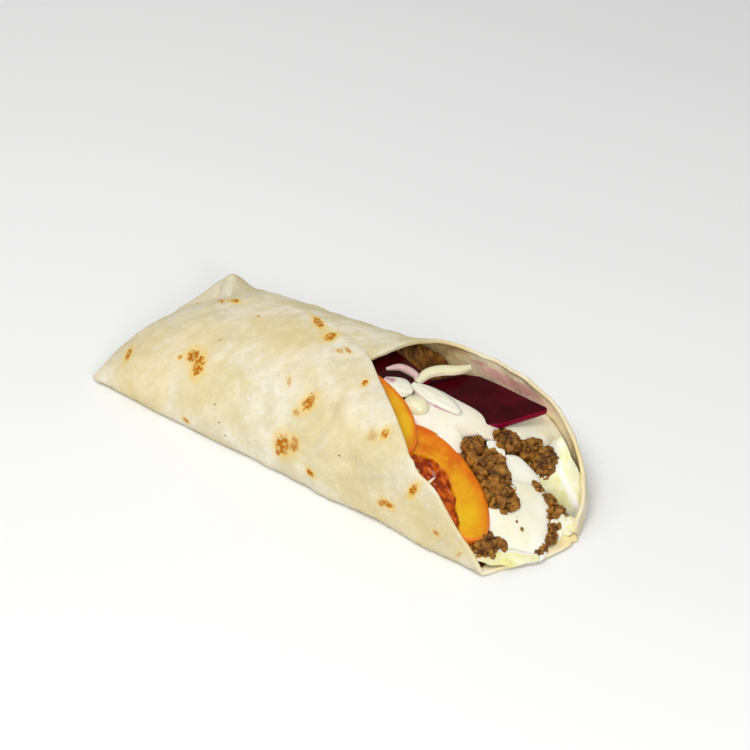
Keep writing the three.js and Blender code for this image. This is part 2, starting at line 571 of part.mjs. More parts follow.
// The same geometry with every vertex moved out along its normal, to leave a gap when it cuts.
function grown(geometry, by) {
  const wider = geometry.clone();
  wider.computeVertexNormals();
  const [position, normal] = [wider.attributes.position, wider.attributes.normal];
  const [p, n] = [new THREE.Vector3(), new THREE.Vector3()];
  for (let i = 0; i < position.count; i++) {
    p.fromBufferAttribute(position, i).addScaledVector(n.fromBufferAttribute(normal, i), by);
    position.setXYZ(i, p.x, p.y, p.z);
  }
  return wider;
}

// The connected part of a cut solid whose middle lies nearest to a place that stays.
function partNear(solid, place) {
  const target = new THREE.Vector3(...place);
  const distance = (piece) => {
    const { min, max } = piece.boundingBox();
    return new THREE.Box3(new THREE.Vector3(...min), new THREE.Vector3(...max))
      .getCenter(new THREE.Vector3()).distanceTo(target);
  };
  const pieces = solid.decompose().filter((piece) => piece.volume() > SCRAP);
  return pieces.sort((a, b) => distance(a) - distance(b))[0];
}

// The same part as a geometry, with its nearly equal vertices merged and no sliver left between them.
function cleanPart(solid, place) {
  const merged = mergeVertices(toGeometry(partNear(solid, place)), MERGE);
  return toGeometry(partNear(toSolid(merged), place));
}

const group = new THREE.Group();
function addPiece(name, geometry, color, roughness) {
  const mesh = new THREE.Mesh(geometry, new THREE.MeshStandardMaterial({ color, roughness, metalness: 0 }));
  mesh.name = name;
  group.add(mesh);
}

// The whole sheet with its closed end, at the given thickness.
function foldedSheet(thick) {
  const [sheet, fold] = [tortillaGrid(), toeFold()].map((grid) => toSolid(thickSheet(grid, thick)));
  return sheet.add(fold);
}

addPiece('tortilla', cleanPart(foldedSheet(TORTILLA.thick), [0, 40, 20]), 0xe9dfc0, 0.8);
const sheetRoom = foldedSheet(TORTILLA.thick + 2 * CUT_GAP);
const room = toSolid(spaceInside(ROOM.toX, ROOM.rise, ROOM.wallGap, true));
let taken = sheetRoom;

// Cuts a piece by everything placed before it, adds it, and takes its room from what follows.
function fit({ name, keep }, geometry, color, roughness) {
  addPiece(name, cleanPart(toSolid(geometry).intersect(room).subtract(taken), keep), color, roughness);
  taken = taken.add(toSolid(grown(geometry, GROWN_GAP)));
}

TOMATOES.toReversed().forEach((slice) => fit(slice, tomatoSlice(slice), 0xd9862a, 0.35));
BEETS.forEach((slice) => fit(slice, beetSlice(slice), 0x5a0a24, 0.3));
ONIONS.forEach((petal) => fit(petal, band(petal), 0xe6e2d0, 0.35));
fit(BULB, lump(BULB.centre, BULB.radii, 0, 1, 0.04), 0xe6e2d0, 0.35);
const lumps = BEEF.map(([centre, radii], i) => lump(centre, radii, i + 1, radii[0] > FINE_LUMP ? 2 : 1));
const lumpSolids = lumps.map((geometry) => toSolid(geometry).intersect(room).subtract(taken));
const beforeBeef = taken;
lumps.forEach((geometry) => { taken = taken.add(toSolid(grown(geometry, GROWN_GAP))); });
const string = BEEF_STRING.lumps.map(([centre, radii], i) => lump(centre, radii, i + 1, 1));
const joined = string.map(toSolid).reduce((whole, solid) => whole.add(solid));
const crumbs = cleanPart(joined.intersect(room).subtract(taken), BEEF_STRING.keep);
addPiece(BEEF_STRING.name, crumbs, 0x70481f, 0.8);
string.forEach((geometry) => { taken = taken.add(toSolid(grown(geometry, GROWN_GAP))); });
LETTUCE.forEach((piece) => fit(piece, leaf(piece), 0xe3e6a0, 0.5));
SAUCES.forEach((sauce) => fit(sauce, pool(sauce), 0xf1eed8, 0.25));
let body = toSolid(spaceInside(CORE.toX, -CORE.sink, CORE.wallGap, false)).subtract(beforeBeef);
const soft = group.children.filter((mesh) => /lettuce|sauce|crumbs/.test(mesh.name));
soft.forEach((mesh) => { body = body.subtract(toSolid(grown(mesh.geometry, GROWN_GAP))); });
lumpSolids.forEach((solid) => { body = body.add(solid); });
addPiece('beef_filling', cleanPart(body, [20, 40, 20]), 0x70481f, 0.8);

// The origin goes to the middle of the underside.
const extent = new THREE.Box3().setFromObject(group);
const middle = extent.getCenter(new THREE.Vector3());
group.position.set(-middle.x, -middle.y, -extent.min.z);

export default group;
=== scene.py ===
"""A shawarma wrap: a flour tortilla folded round beef, tomato, beet, onion, lettuce and garlic sauce.

Shapes are worked out in millimetres, in the frame that the filling was laid out in, and are put into
metres round the part's own origin when they become meshes.
"""
import bmesh
import bpy
import numpy as np
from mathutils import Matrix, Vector


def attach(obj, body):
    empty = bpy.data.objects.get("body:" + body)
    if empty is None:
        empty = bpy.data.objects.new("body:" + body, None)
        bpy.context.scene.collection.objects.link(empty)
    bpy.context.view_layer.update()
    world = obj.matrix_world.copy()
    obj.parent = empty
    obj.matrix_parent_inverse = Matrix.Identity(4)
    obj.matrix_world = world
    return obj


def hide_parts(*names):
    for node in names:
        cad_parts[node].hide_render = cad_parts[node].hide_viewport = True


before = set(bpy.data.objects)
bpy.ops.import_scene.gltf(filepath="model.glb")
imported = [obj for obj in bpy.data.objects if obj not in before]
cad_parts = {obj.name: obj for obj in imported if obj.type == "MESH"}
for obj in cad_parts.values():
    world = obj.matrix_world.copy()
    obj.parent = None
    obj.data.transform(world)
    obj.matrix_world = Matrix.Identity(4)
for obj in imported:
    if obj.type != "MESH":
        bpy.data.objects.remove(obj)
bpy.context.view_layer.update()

ORIGIN = np.array([6.311, 41.0, 0.0])    # the part's origin, in the frame of the sizes below
MM = 0.001

# ---------- sizes, mm ----------
# X runs along the wrap from its closed end to its mouth, Y from the near fold to the far one and Z up.
SHEET_THICK = 1.8
LAYER_GAP = 0.5
FLAP_APEX_X, FLAP_REACH, FLAP_RADIUS = -35.0, 72.5, 166.0
CORNER_X, MOUTH_X = 102.0, 119.0
TOE_X, TOE_LENGTH, TOE_SQUEEZE = -106.0, 11.0, 0.2

CREST_Z = ((-106, 11), (-95, 15.5), (-86, 21), (-75, 26), (-46, 33), (-21, 38), (-3, 41), (12, 43),
           (35, 45), (63, 44), (81, 40), (96, 34), (109, 26))
CREST_Y = ((-106, 45), (-46, 46), (-21, 44), (12, 36), (35, 27), (63, 20), (96, 15))
NEAR_SQUARENESS = ((-102, 1.8), (-46, 2), (12, 2.2), (35, 2.7), (63, 3.4), (96, 3.2), (109, 2))
WIDTH = ((-106, 80), (-78, 82), (60, 82), (82, 80), (96, 73), (108, 62), (114.5, 52.5), (119, 40))
NEAR_FOLD_Z = ((-106, 4), (-46, 4.5), (63, 4.5), (96, 3), (109, 1.5), (119, 0.9))
FAR_FOLD_Z = ((-106, 8), (-78, 10), (-21, 13), (35, 15), (63, 15), (82, 13), (96, 9), (109, 4), (119, 1))
FAR_CREST_Z = ((-106, 24), (-100, 25), (-92, 23), (-84, 21.5), (-74, 23.5), (-46, 30), (-21, 35),
               (-3, 38), (12, 40.2), (26, 42), (48, 46), (67, 45), (82, 41), (96, 36), (108, 29),
               (114.5, 20), (117, 9), (119, 2))
FAR_CREST_Y = ((-106, 72), (-80, 64), (-46, 52), (12, 48), (35, 60), (82, 60), (96, 55), (108, 48),
               (119, 33))
FAR_CREST_SQUARENESS = 2.4
FAR_REACH = ((-106, 150), (-21, 162), (5, 166), (12, 158), (18, 143), (24, 129), (30, 121), (54, 118),
             (67, 118), (82, 111), (92, 100), (100, 92), (108, 78), (114.5, 62), (117, 51), (119, 40))
FLAP_DENT = ((14, 0), (34, 2.5), (47, 3.8), (60, 4.7), (67, 7), (70, 6.6), (75, 4.3), (80, 2.2),
             (92, 2.2), (99, 0))
NEAR_TOE, FAR_TOE = 4.5, 16.0    # how far the two folds' lower curves reach along the plate
# The far wall's upper part is drawn back and down along WALL_WAY, so that it stands upright at the mouth.
WALL_WAY, WALL_INSET = np.array([-0.496, 0.64, -0.588]), 0.5
WALL_DRAWN = ((20, 0), (30, 7), (40, 12), (65, 12), (80, 9), (92, 5), (108, 3), (116, 0))
WALL_RISE = 8.0    # height over which the drawing back sets in
LOWER_LIP = ((102, 0), (106.5, 8.6), (113.6, 19), (117, 26), (119, 32))
TOE_SHIFT = ((-72, 9), (-60, 6), (-42, 2), (-30, 1.5), (0, 5), (22, 1.5), (36, 1), (54, 5), (72, 10),
             (84, 13), (100, 14), (112, 20), (126, 30), (150, 36))
TOE_MIDDLE_Z = ((0, 2), (18, 4), (50, 5), (76, 15))
TOE_SHIFT_LENGTH, TOE_TURN = 50.0, 88.0    # TOE_TURN: degrees of the end's quarter circle
HEAP_Z = ((8, 39), (30, 36.5), (45, 34.5), (60, 31), (75, 25), (90, 17), (100, 10.5), (110, 5), (118, 3))
HEAP_CROWN_Y, HEAP_HALF, HEAP_DROP = 40.0, 35.0, 4.0
TOE_ROOM_Y = ((-93, 40), (-80, 58), (-64, 84))


# ---------- curves and noise ----------
def along(x, knots):
    """A smooth curve through a few (x, value) pairs: cubic pieces whose slopes are the harmonic mean of
    the two neighbouring rises, and 0 where they differ in sign, so that it never overshoots."""
    kx, kv = np.array(knots, float).T
    rise = np.diff(kv) / np.diff(kx)
    product = rise[:-1] * rise[1:]
    total = np.where(product > 0, rise[:-1] + rise[1:], 1.0)
    inner = np.where(product > 0, 2 * product / total, 0.0)
    slope = np.concatenate([[rise[0] / 2], inner, [rise[-1] / 2]])
    x = np.clip(np.asarray(x, float), kx[0], kx[-1])
    i = np.clip(np.searchsorted(kx, x, side="right") - 1, 0, len(kx) - 2)
    h = kx[i + 1] - kx[i]
    u = (x - kx[i]) / h
    return (kv[i] * (2 * u**3 - 3 * u**2 + 1) + kv[i + 1] * (3 * u**2 - 2 * u**3)
            + slope[i] * h * (u**3 - 2 * u**2 + u) + slope[i + 1] * h * (u**3 - u**2))


def ease(a, b, x):
    """0 before a, 1 after b and a smooth cubic step between them."""
    u = np.clip((np.asarray(x, float) - a) / (b - a), 0, 1)
    return u * u * (3 - 2 * u)


def lattice(i, seed):
    """A number from 0 to 1 for each whole-number cell: the fraction of a large multiple of a sine."""
    mixed = i[..., 0] * 127.1 + i[..., 1] * 311.7 + i[..., 2] * 74.7 + seed * 53.3
    return np.modf(np.abs(np.sin(mixed)) * 43758.5453)[0]


def waves(p, size, seed=0):
    """Value noise from -1 to 1: random values at the corners of a lattice of that size, blended."""
    q = p / size + seed * 7.31
    cell = np.floor(q)
    f = q - cell
    f = f * f * (3 - 2 * f)
    total = 0.0
    for dx in (0, 1):
        for dy in (0, 1):
            for dz in (0, 1):
                weight = (np.where(dx, f[..., 0], 1 - f[..., 0]) * np.where(dy, f[..., 1], 1 - f[..., 1])
                          * np.where(dz, f[..., 2], 1 - f[..., 2]))
                total = total + weight * lattice(cell + np.array([dx, dy, dz]), seed)
    return total * 2 - 1


def layered(p, size, layers, seed=0):
    """Sum of noises, each of half the size and half the strength of the one before."""
    return sum(waves(p, size / 2**k, seed + k) / 2**k for k in range(layers))


def unit(v):
    """Vectors divided by their length."""
    return v / np.maximum(np.linalg.norm(v, axis=-1, keepdims=True), 1e-9)


# ---------- the sheet's section ----------
STEPS = 48


def quarter(squareness=2.0):
    """Cosine and sine along a quarter of a superellipse."""
    angle = np.linspace(0, np.pi / 2, STEPS + 1)
    power = 2 / squareness
    return np.maximum(np.cos(angle), 0)**power, np.maximum(np.sin(angle), 0)**power


def run_of(*pieces):
    """Joins (y, z) pieces into one run and adds each point's distance along it."""
    y = np.concatenate([p[0] for p in pieces])
    z = np.concatenate([p[1] for p in pieces])
    step = np.hypot(np.diff(y), np.diff(z))
    return y, z, np.concatenate([[0], np.cumsum(step)])


def section(x):
    """The sheet's two runs at x: the near one climbs from the near fold over the crest, and the far one
    goes along the plate, round the far fold and back over the filling. Both are quarter superellipses."""
    crest_z, crest_y = along(x, CREST_Z), along(x, CREST_Y)
    width, near_z, far_z = along(x, WIDTH), along(x, NEAR_FOLD_Z), along(x, FAR_FOLD_Z)
    back_z, back_y = along(x, FAR_CREST_Z), along(x, FAR_CREST_Y)
    floor = SHEET_THICK / 2
    layer = SHEET_THICK + LAYER_GAP
    near_toe = min(NEAR_TOE, width / 5)
    far_toe = min(FAR_TOE, width / 3)
    cs, ss = quarter(along(x, NEAR_SQUARENESS))
    c, s = quarter()
    cb, sb = quarter(FAR_CREST_SQUARENESS)
    near = run_of((crest_y * (1 - cs), near_z + (crest_z - near_z) * ss),
                  (crest_y + (width + layer - crest_y) * s[1:], far_z + (crest_z - far_z) * c[1:]))
    far = run_of((near_toe * (1 - c), floor + (near_z - floor) * (1 - s)),
                 (width - far_toe * (1 - s), far_z - (far_z - floor) * c),
                 (back_y + (width - back_y) * c[1:], far_z + (back_z - far_z) * s[1:]),
                 (back_y * (1 - sb[1:]), near_z + (back_z - near_z) * cb[1:]))
    return near, far


def near_edge(x):
    """Sheet distance of the near free edge: minus the flap's round reach, then the lower layer's lip."""
    dent = along(x, FLAP_DENT)
    arc = np.sqrt(np.maximum(FLAP_RADIUS**2 - (x - FLAP_APEX_X)**2, 0))
    return np.where(x >= CORNER_X, along(x, LOWER_LIP), FLAP_RADIUS - FLAP_REACH - arc + dent)


def on_section(runs, s):
    """(y, z) at sheet distance s: negative on the near flap, positive on the rest."""
    near, far = runs
    y = np.where(s < 0, np.interp(-s, near[2], near[0]), np.interp(s, far[2], far[0]))
    z = np.where(s < 0, np.interp(-s, near[2], near[1]), np.interp(s, far[2], far[1]))
    return y, z


def sheet_points(x, s):
    """Middle surface of the sheet: x is one column, s its rows. The closed end is pressed flat with the
    profile of a quarter circle and drawn back, and the far wall moves along WALL_WAY."""
    y, z = on_section(section(x), s)
    depth = np.clip((TOE_X + TOE_LENGTH - x) / TOE_LENGTH, 0, 1)
    open_share = TOE_SQUEEZE + (1 - TOE_SQUEEZE) * np.sqrt(1 - depth**2)
    middle = along(y, TOE_MIDDLE_Z)
    shift = along(s, TOE_SHIFT) * (1 - ease(TOE_X, TOE_X + TOE_SHIFT_LENGTH, x))
    points = np.stack([x + shift, y, middle + (z - middle) * open_share], -1)
    fold_z = along(x, FAR_FOLD_Z)
    free = np.maximum((along(x, WIDTH) - WALL_INSET - y) / WALL_WAY[1], 0)
    drawn = np.minimum(along(x, WALL_DRAWN) * ease(fold_z, fold_z + WALL_RISE, z), free)
    return points + np.where(s > 0, drawn, 0)[..., None] * WALL_WAY


def heap_z(x, y):
    """Height of the filling's open face: a falling curve along x, less a parabola across y."""
    return along(x, HEAP_Z) - HEAP_DROP * ((y - HEAP_CROWN_Y) / HEAP_HALF)**2


def grid_normals(p):
    """Unit normals of a grid: the cross product of its two directions' differences."""
    return unit(np.cross(np.gradient(p, axis=0), np.gradient(p, axis=1)))


def sheet_grid(toe_columns=12, columns=199, rows=200):
    """Columns of the whole sheet, evenly spread from free edge to free edge; also each point's (x, s).
    Those of the closed end follow the sine of an evenly falling angle."""
    first = TOE_X + TOE_LENGTH * (1 - np.sin(np.radians(np.linspace(TOE_TURN, 0, toe_columns))))
    rest = np.linspace(TOE_X + TOE_LENGTH, MOUTH_X, columns)[1:]
    xs = np.concatenate([first, rest])
    share = np.linspace(0, 1, rows)
    points, places = [], []
    for x in xs:
        s = near_edge(x) + (along(x, FAR_REACH) - near_edge(x)) * share
        points.append(sheet_points(x, s))
        places.append(np.stack([np.full(rows, x), s], -1))
    return np.array(points), np.array(places)


# ---------- meshes ----------
def quads_of(rows, columns, close_columns=False):
    """Corner indices of the faces of a grid of points; its columns may join round."""
    across = columns if close_columns else columns - 1
    i, j = np.meshgrid(np.arange(rows - 1), np.arange(across), indexing="ij")
    k = (j + 1) % columns
    this, after = i * columns, (i + 1) * columns
    return np.stack([this + j, after + j, after + k, this + k], -1).reshape(-1, 4)


def joined(*parts):
    """Several (points, quads, values) parts as one, with the corner indices moved on."""
    points, quads, values, start = [], [], [], 0
    for p, q, v in parts:
        points.append(p.reshape(-1, 3))
        quads.append(q + start)
        values.append(v.reshape(len(points[-1]), -1))
        start += len(points[-1])
    return np.concatenate(points), np.concatenate(quads), np.concatenate(values)


MERGE_GAP = 2e-6    # metres


def make_piece(name, points, quads, material, nodes=(), places=None, values=None):
    """A closed mesh object. places (two numbers a point) becomes its UV map, and each entry of values
    (one number a point) an attribute of that name. Doubled points are merged and faces turned outwards."""
    mesh = bpy.data.meshes.new(name)
    mesh.vertices.add(len(points))
    mesh.vertices.foreach_set("co", ((points - ORIGIN) * MM).astype(np.float32).ravel())
    mesh.loops.add(quads.size)
    mesh.loops.foreach_set("vertex_index", quads.astype(np.int32).ravel())
    mesh.polygons.add(len(quads))
    mesh.polygons.foreach_set("loop_start", np.arange(0, quads.size, 4, dtype=np.int32))
    mesh.update(calc_edges=True)
    if places is not None:
        layer = mesh.uv_layers.new(name="places")
        layer.data.foreach_set("uv", places[quads.ravel()].astype(np.float32).ravel())
    for key, value in (values or {}).items():
        attribute = mesh.attributes.new(key, "FLOAT", "POINT")
        attribute.data.foreach_set("value", value.astype(np.float32).ravel())
    shape = bmesh.new()
    shape.from_mesh(mesh)
    bmesh.ops.remove_doubles(shape, verts=shape.verts, dist=MERGE_GAP)
    bmesh.ops.recalc_face_normals(shape, faces=shape.faces)
    for face in shape.faces:
        face.smooth = True
    shape.to_mesh(mesh)
    shape.free()
    piece = bpy.data.objects.new(name, mesh)
    bpy.context.scene.collection.objects.link(piece)
    mesh.materials.append(material)
    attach(piece, "root")
    if nodes:
        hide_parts(*nodes)


RIM_TURNS, END_TURNS = np.radians([60, 30, 0, -30, -60]), np.radians([30, 60, 90])


def thick_sheet(middle, half):
    """A sheet with half-round rims: from each middle point the two sides lie half a thickness along the
    normal, and each rim is a half circle from one side to the other. Returns points, quads and, for each
    point, its (row, column) in the middle grid and its side: 0 on the outer side, 1 on the inner one."""
    rows, columns = middle.shape[:2]
    more = len(END_TURNS)
    half = np.broadcast_to(half, (rows, columns))
    grow = unit(middle[-1] - middle[-2])
    extra = np.stack([middle[-1] + half[-1][:, None] * np.sin(a) * grow for a in END_TURNS])
    back = unit(middle[0] - middle[1])
    before = np.stack([middle[0] + half[0][:, None] * np.sin(a) * back for a in END_TURNS[::-1]])
    normals = grid_normals(middle)
    normals = np.concatenate([np.repeat(normals[:1], more, 0), normals, np.repeat(normals[-1:], more, 0)])
    full = np.concatenate([before, middle, extra])
    shrink = np.cos(END_TURNS)[:, None]
    half = np.concatenate([half[:1] * shrink[::-1], half, half[-1:] * shrink])
    reach = half[..., None] * normals
    rims = []
    for edge, within, sign in ((-1, -2, -1), (0, 1, 1)):
        out = unit(full[:, edge] - full[:, within]) * half[:, edge, None]
        rim = [full[:, edge] + sign * reach[:, edge] * np.sin(a) + out * np.cos(a) for a in RIM_TURNS]
        rims.append(np.stack(rim, 1))
    loop = np.concatenate([full - reach, rims[0], (full + reach)[:, ::-1], rims[1]], 1)
    j = np.arange(columns)
    turn = len(RIM_TURNS)
    column = np.concatenate([j, [columns - 1] * turn, j[::-1], [0] * turn])
    fade = (1 - np.sin(RIM_TURNS)) / 2
    side = np.concatenate([np.zeros(columns), fade, np.ones(columns), 1 - fade])
    row = np.clip(np.arange(len(full)) - more, 0, rows - 1)
    values = np.stack(np.broadcast_arrays(row[:, None], column[None], side[None]), -1)
    return loop.reshape(-1, 3), quads_of(len(full), loop.shape[1], True), values.reshape(-1, 3)


SIDE_TURNS = np.radians([50, 20, -20, -50])
SIDE_TOP = np.sin(np.radians(70))    # the sine at which a slab's wall would meet its faces


def slab(outline, centre, up, half, rings, relief, rim):
    """A flat slice: rings shrink from the closed outline to the centre on both faces, and a half-round rim
    joins them. relief(share, points) moves the upper face up. Returns points, quads and, for each point,
    its ring's share of the outline and 1 on the upper face, 0.5 on the rim or 0 on the lower face."""
    spokes = len(outline)
    share = np.sqrt(np.linspace(0, 1, rings))[:, None, None]
    inward = unit(centre - outline)
    flat = centre + share * (outline + inward * rim - centre)
    top = flat + up * (half + relief(share[..., 0], flat))[..., None]
    sides = np.stack([outline + inward * rim * (1 - np.cos(a)) + up * half * np.sin(a) / SIDE_TOP
                      for a in SIDE_TURNS])
    base = flat[::-2] - up * half
    points = np.concatenate([top, sides, base])
    level = np.concatenate([share[:, 0, 0], np.ones(len(sides)), share[::-2, 0, 0]])
    upper = np.concatenate([np.ones(rings), np.full(len(sides), 0.5), np.zeros(len(base))])
    values = np.repeat(np.stack([level, upper], -1), spokes, axis=0)
    return points.reshape(-1, 3), quads_of(len(points), spokes, True), values


def ball(n):
    """Points and faces of a ball: a cube's six faces with n squares a side, pushed out to radius 1."""
    a = np.tan(np.linspace(-np.pi / 4, np.pi / 4, n + 1))
    u, v = np.meshgrid(a, a, indexing="ij")
    w = np.ones_like(u)
    sides = [(u, v, w), (v, u, -w), (w, u, v), (-w, v, u), (v, w, u), (u, -w, v)]
    points = unit(np.stack([np.stack(side, -1) for side in sides]))
    quads = np.concatenate([quads_of(n + 1, n + 1) + k * (n + 1)**2 for k in range(6)])
    return points.reshape(-1, 3), quads


def placed(flat, place, normal, ahead):
    """Local (x, y, z) points moved to a place: z becomes the normal and x points along ahead."""
    up = unit(np.array(normal, float))
    side = unit(np.cross(up, np.array(ahead, float)))
    front = np.cross(side, up)
    return flat @ np.stack([front, side, up]) + np.array(place, float)


# ---------- the room inside the folded sheet ----------
ROOM_X = np.arange(-100, MOUTH_X + 0.5, 1.0)
ROOM_Y = np.arange(0, 84.5, 0.5)
NO_FLOOR, NO_ROOF = 60.0, -1.0    # heights outside the sheet, where the roof lies under the floor
COVER_FADE, COVER_GAP = (2, 8), 8


def moved_in(run, turn):
    """A run of the section moved by half the sheet's thickness along its normal, to the side turn says."""
    dy, dz = np.gradient(run[0]), np.gradient(run[1])
    size = np.maximum(np.hypot(dy, dz), 1e-9)
    return run[0] + turn * dz * SHEET_THICK / 2 / size, run[1] - turn * dy * SHEET_THICK / 2 / size


def edge_y(runs, s):
    """The y of the section's point at one sheet distance."""
    return on_section(runs, np.array([float(s)]))[0][0]


def room_tables():
    """Heights of the room's floor and roof over a grid of x and y: the section's runs moved inwards. In the
    open roof the far layer only counts behind its free edge. Cover is 1 where a layer lies on the filling
    and 0 in the open mouth."""
    floors, roofs, open_roofs, covers = [], [], [], []
    for x in ROOM_X:
        near, far = section(x)
        (ny, nz), (fy, fz) = moved_in(near, 1), moved_in(far, -1)
        widest = int(np.argmax(fy))
        order = np.argsort(ny)
        floor = np.interp(ROOM_Y, fy[:widest + 1], fz[:widest + 1])
        roof = np.interp(ROOM_Y, ny[order], nz[order])
        back = np.interp(ROOM_Y, fy[widest:][::-1], fz[widest:][::-1])
        back_edge = edge_y((near, far), along(x, FAR_REACH))
        open_roof = np.where((ROOM_Y < back_edge) & (x > HEAP_Z[0][0]), roof, np.minimum(roof, back))
        roof = np.minimum(roof, back)
        outside = (ROOM_Y > fy[widest] - 0.3) | (ROOM_Y < 1.0)
        floors.append(np.where(outside, NO_FLOOR, floor))
        roofs.append(np.where(outside, NO_ROOF, roof))
        open_roofs.append(np.where(outside, NO_ROOF, open_roof))
        flap_edge = edge_y((near, far), near_edge(x)) if x < CORNER_X else 0.0
        under_flap = ease(*COVER_FADE, flap_edge - ROOM_Y)
        covers.append(np.maximum(under_flap, ease(*COVER_FADE, ROOM_Y - back_edge - COVER_GAP)))
    return np.array(floors), np.array(roofs), np.array(open_roofs), np.array(covers)


FLOOR, ROOF, OPEN_ROOF, COVER = room_tables()


def looked_up(table, x, y):
    """Bilinear value of a room table at x and y."""
    u = np.clip((x - ROOM_X[0]) / (ROOM_X[1] - ROOM_X[0]), 0, len(ROOM_X) - 1.001)
    v = np.clip((y - ROOM_Y[0]) / (ROOM_Y[1] - ROOM_Y[0]), 0, len(ROOM_Y) - 1.001)
    i, j = u.astype(int), v.astype(int)
    u, v = u - i, v - j
    return ((1 - u) * (1 - v) * table[i, j] + u * (1 - v) * table[i + 1, j]
            + (1 - u) * v * table[i, j + 1] + u * v * table[i + 1, j + 1])


def clearance(p):
    """How far inside the room a point lies, up or down, in mm."""
    x, y, z = p[..., 0], p[..., 1], p[..., 2]
    return np.minimum(z - looked_up(FLOOR, x, y), looked_up(OPEN_ROOF, x, y) - z)


def kept_inside(outline, centre, margin=0.8, lifts=((0.0, 0.0, 0.0),)):
    """Each outline point drawn back towards the centre until it, and its copies moved by lifts, are inside.
    The drawn-back shares are evened out with weights of 1, 2 and 1."""
    shares = np.linspace(0, 1, 61)
    line = centre + shares[:, None, None] * (outline - centre)
    clear = np.min([clearance(line + np.array(lift)) for lift in lifts], axis=0) > margin
    reach = np.argmin(np.concatenate([clear, np.zeros((1, len(outline)), bool)]), axis=0)
    share = shares[np.clip(reach - 1, 0, len(shares) - 1)]
    share = np.where(reach == 0, 0.05, share)
    share = (np.roll(share, 1) + 2 * share + np.roll(share, -1)) / 4
    return centre + share[:, None] * (outline - centre)


def cubic(a, b, c, d, u):
    """Catmull-Rom cubic from b to c at share u, where a comes before them and d behind."""
    return 0.5 * (2 * b + (c - a) * u + (2 * a - 5 * b + 4 * c - d) * u**2 + (3 * b - a - 3 * c + d) * u**3)


def closed_curve(points, count):
    """A closed smooth curve through a few points, evenly sampled in its parameter."""
    p = np.array(points, float)
    n = len(p)
    t = np.linspace(0, n, count, endpoint=False)
    i = t.astype(int)
    return cubic(p[(i - 1) % n], p[i % n], p[(i + 1) % n], p[(i + 2) % n], (t - i)[:, None])


def open_curve(points, count):
    """The same curve from the first point to the last."""
    p = np.array(points, float)
    p = np.concatenate([[2 * p[0] - p[1]], p, [2 * p[-1] - p[-2]]])
    t = np.linspace(0, len(p) - 3, count)
    i = np.minimum(t.astype(int), len(p) - 4)
    return cubic(p[i], p[i + 1], p[i + 2], p[i + 3], (t - i)[:, None])


# ---------- material kit ----------
class Nodes:
    """A short way to write a material's node tree."""

    def __init__(self, tree):
        self.tree = tree

    def add(self, kind, inputs=None, **settings):
        node = self.tree.nodes.new(kind)
        for key, value in settings.items():
            setattr(node, key, value)
        for key, value in (inputs or {}).items():
            self.feed(node.inputs[key], value)
        return node

    def feed(self, socket, value):
        if isinstance(value, bpy.types.NodeSocket):
            self.tree.links.new(value, socket)
        else:
            socket.default_value = value

    def math(self, operation, a, b=0.0, clamp=False):
        return self.add("ShaderNodeMath", {0: a, 1: b}, operation=operation, use_clamp=clamp).outputs[0]

    def noise(self, vector, scale, detail=3.0, roughness=0.55, distortion=0.0):
        inputs = {"Vector": vector, "Scale": scale, "Detail": detail, "Roughness": roughness,
                  "Distortion": distortion}
        return self.add("ShaderNodeTexNoise", inputs).outputs["Fac"]

    def ramp(self, value, low, high, a=0.0, b=1.0):
        inputs = {"Value": value, "From Min": low, "From Max": high, "To Min": a, "To Max": b}
        return self.add("ShaderNodeMapRange", inputs, interpolation_type="SMOOTHSTEP").outputs["Result"]

    def blend(self, share, a, b):
        node = self.add("ShaderNodeMix", data_type="RGBA")
        self.feed(node.inputs["Factor"], share)
        self.feed(node.inputs[6], a)
        self.feed(node.inputs[7], b)
        return node.outputs[2]

    def over(self, base, share, colour, strength=1.0):
        """An sRGB colour laid over the base by the share times its strength."""
        share = share if strength == 1.0 else self.math("MULTIPLY", share, strength)
        return self.blend(share, base, srgb(*colour))

    def bump(self, height, distance, strength=1.0, normal=None):
        inputs = {"Height": height, "Distance": distance, "Strength": strength}
        if normal is not None:
            inputs["Normal"] = normal
        return self.add("ShaderNodeBump", inputs).outputs["Normal"]

    def object_place(self):
        return self.add("ShaderNodeTexCoord").outputs["Object"]

    def uv_place(self):
        return self.add("ShaderNodeTexCoord").outputs["UV"]

    def attribute(self, name):
        return self.add("ShaderNodeAttribute", attribute_name=name).outputs["Fac"]


def srgb(red, green, blue):
    """A colour written as it looks on screen, 0 to 255, as the linear values that Blender takes."""
    c = np.array([red, green, blue]) / 255
    linear = np.where(c <= 0.04045, c / 12.92, ((c + 0.055) / 1.055)**2.4)
    return (*[float(v) for v in linear], 1.0)


def new_material(name, **constants):
    """A material with one Principled BSDF; constants are set on its own sockets."""
    material = bpy.data.materials.new(name)
    material.use_nodes = True
    nodes = Nodes(material.node_tree)
    shader = material.node_tree.nodes["Principled BSDF"]
    for key, value in constants.items():
        shader.inputs[key.replace("_", " ")].default_value = value
    return material, nodes, shader


def new_group(name, inputs, outputs):
    """A shader node group with named inputs and outputs."""
    tree = bpy.data.node_groups.new(name, "ShaderNodeTree")
    for key, kind, value in inputs:
        socket = tree.interface.new_socket(key, in_out="INPUT", socket_type="NodeSocket" + kind)
        if value is not None:
            socket.default_value = value
    for key, kind in outputs:
        tree.interface.new_socket(key, in_out="OUTPUT", socket_type="NodeSocket" + kind)
    nodes = Nodes(tree)
    return tree, nodes, nodes.add("NodeGroupInput"), nodes.add("NodeGroupOutput")


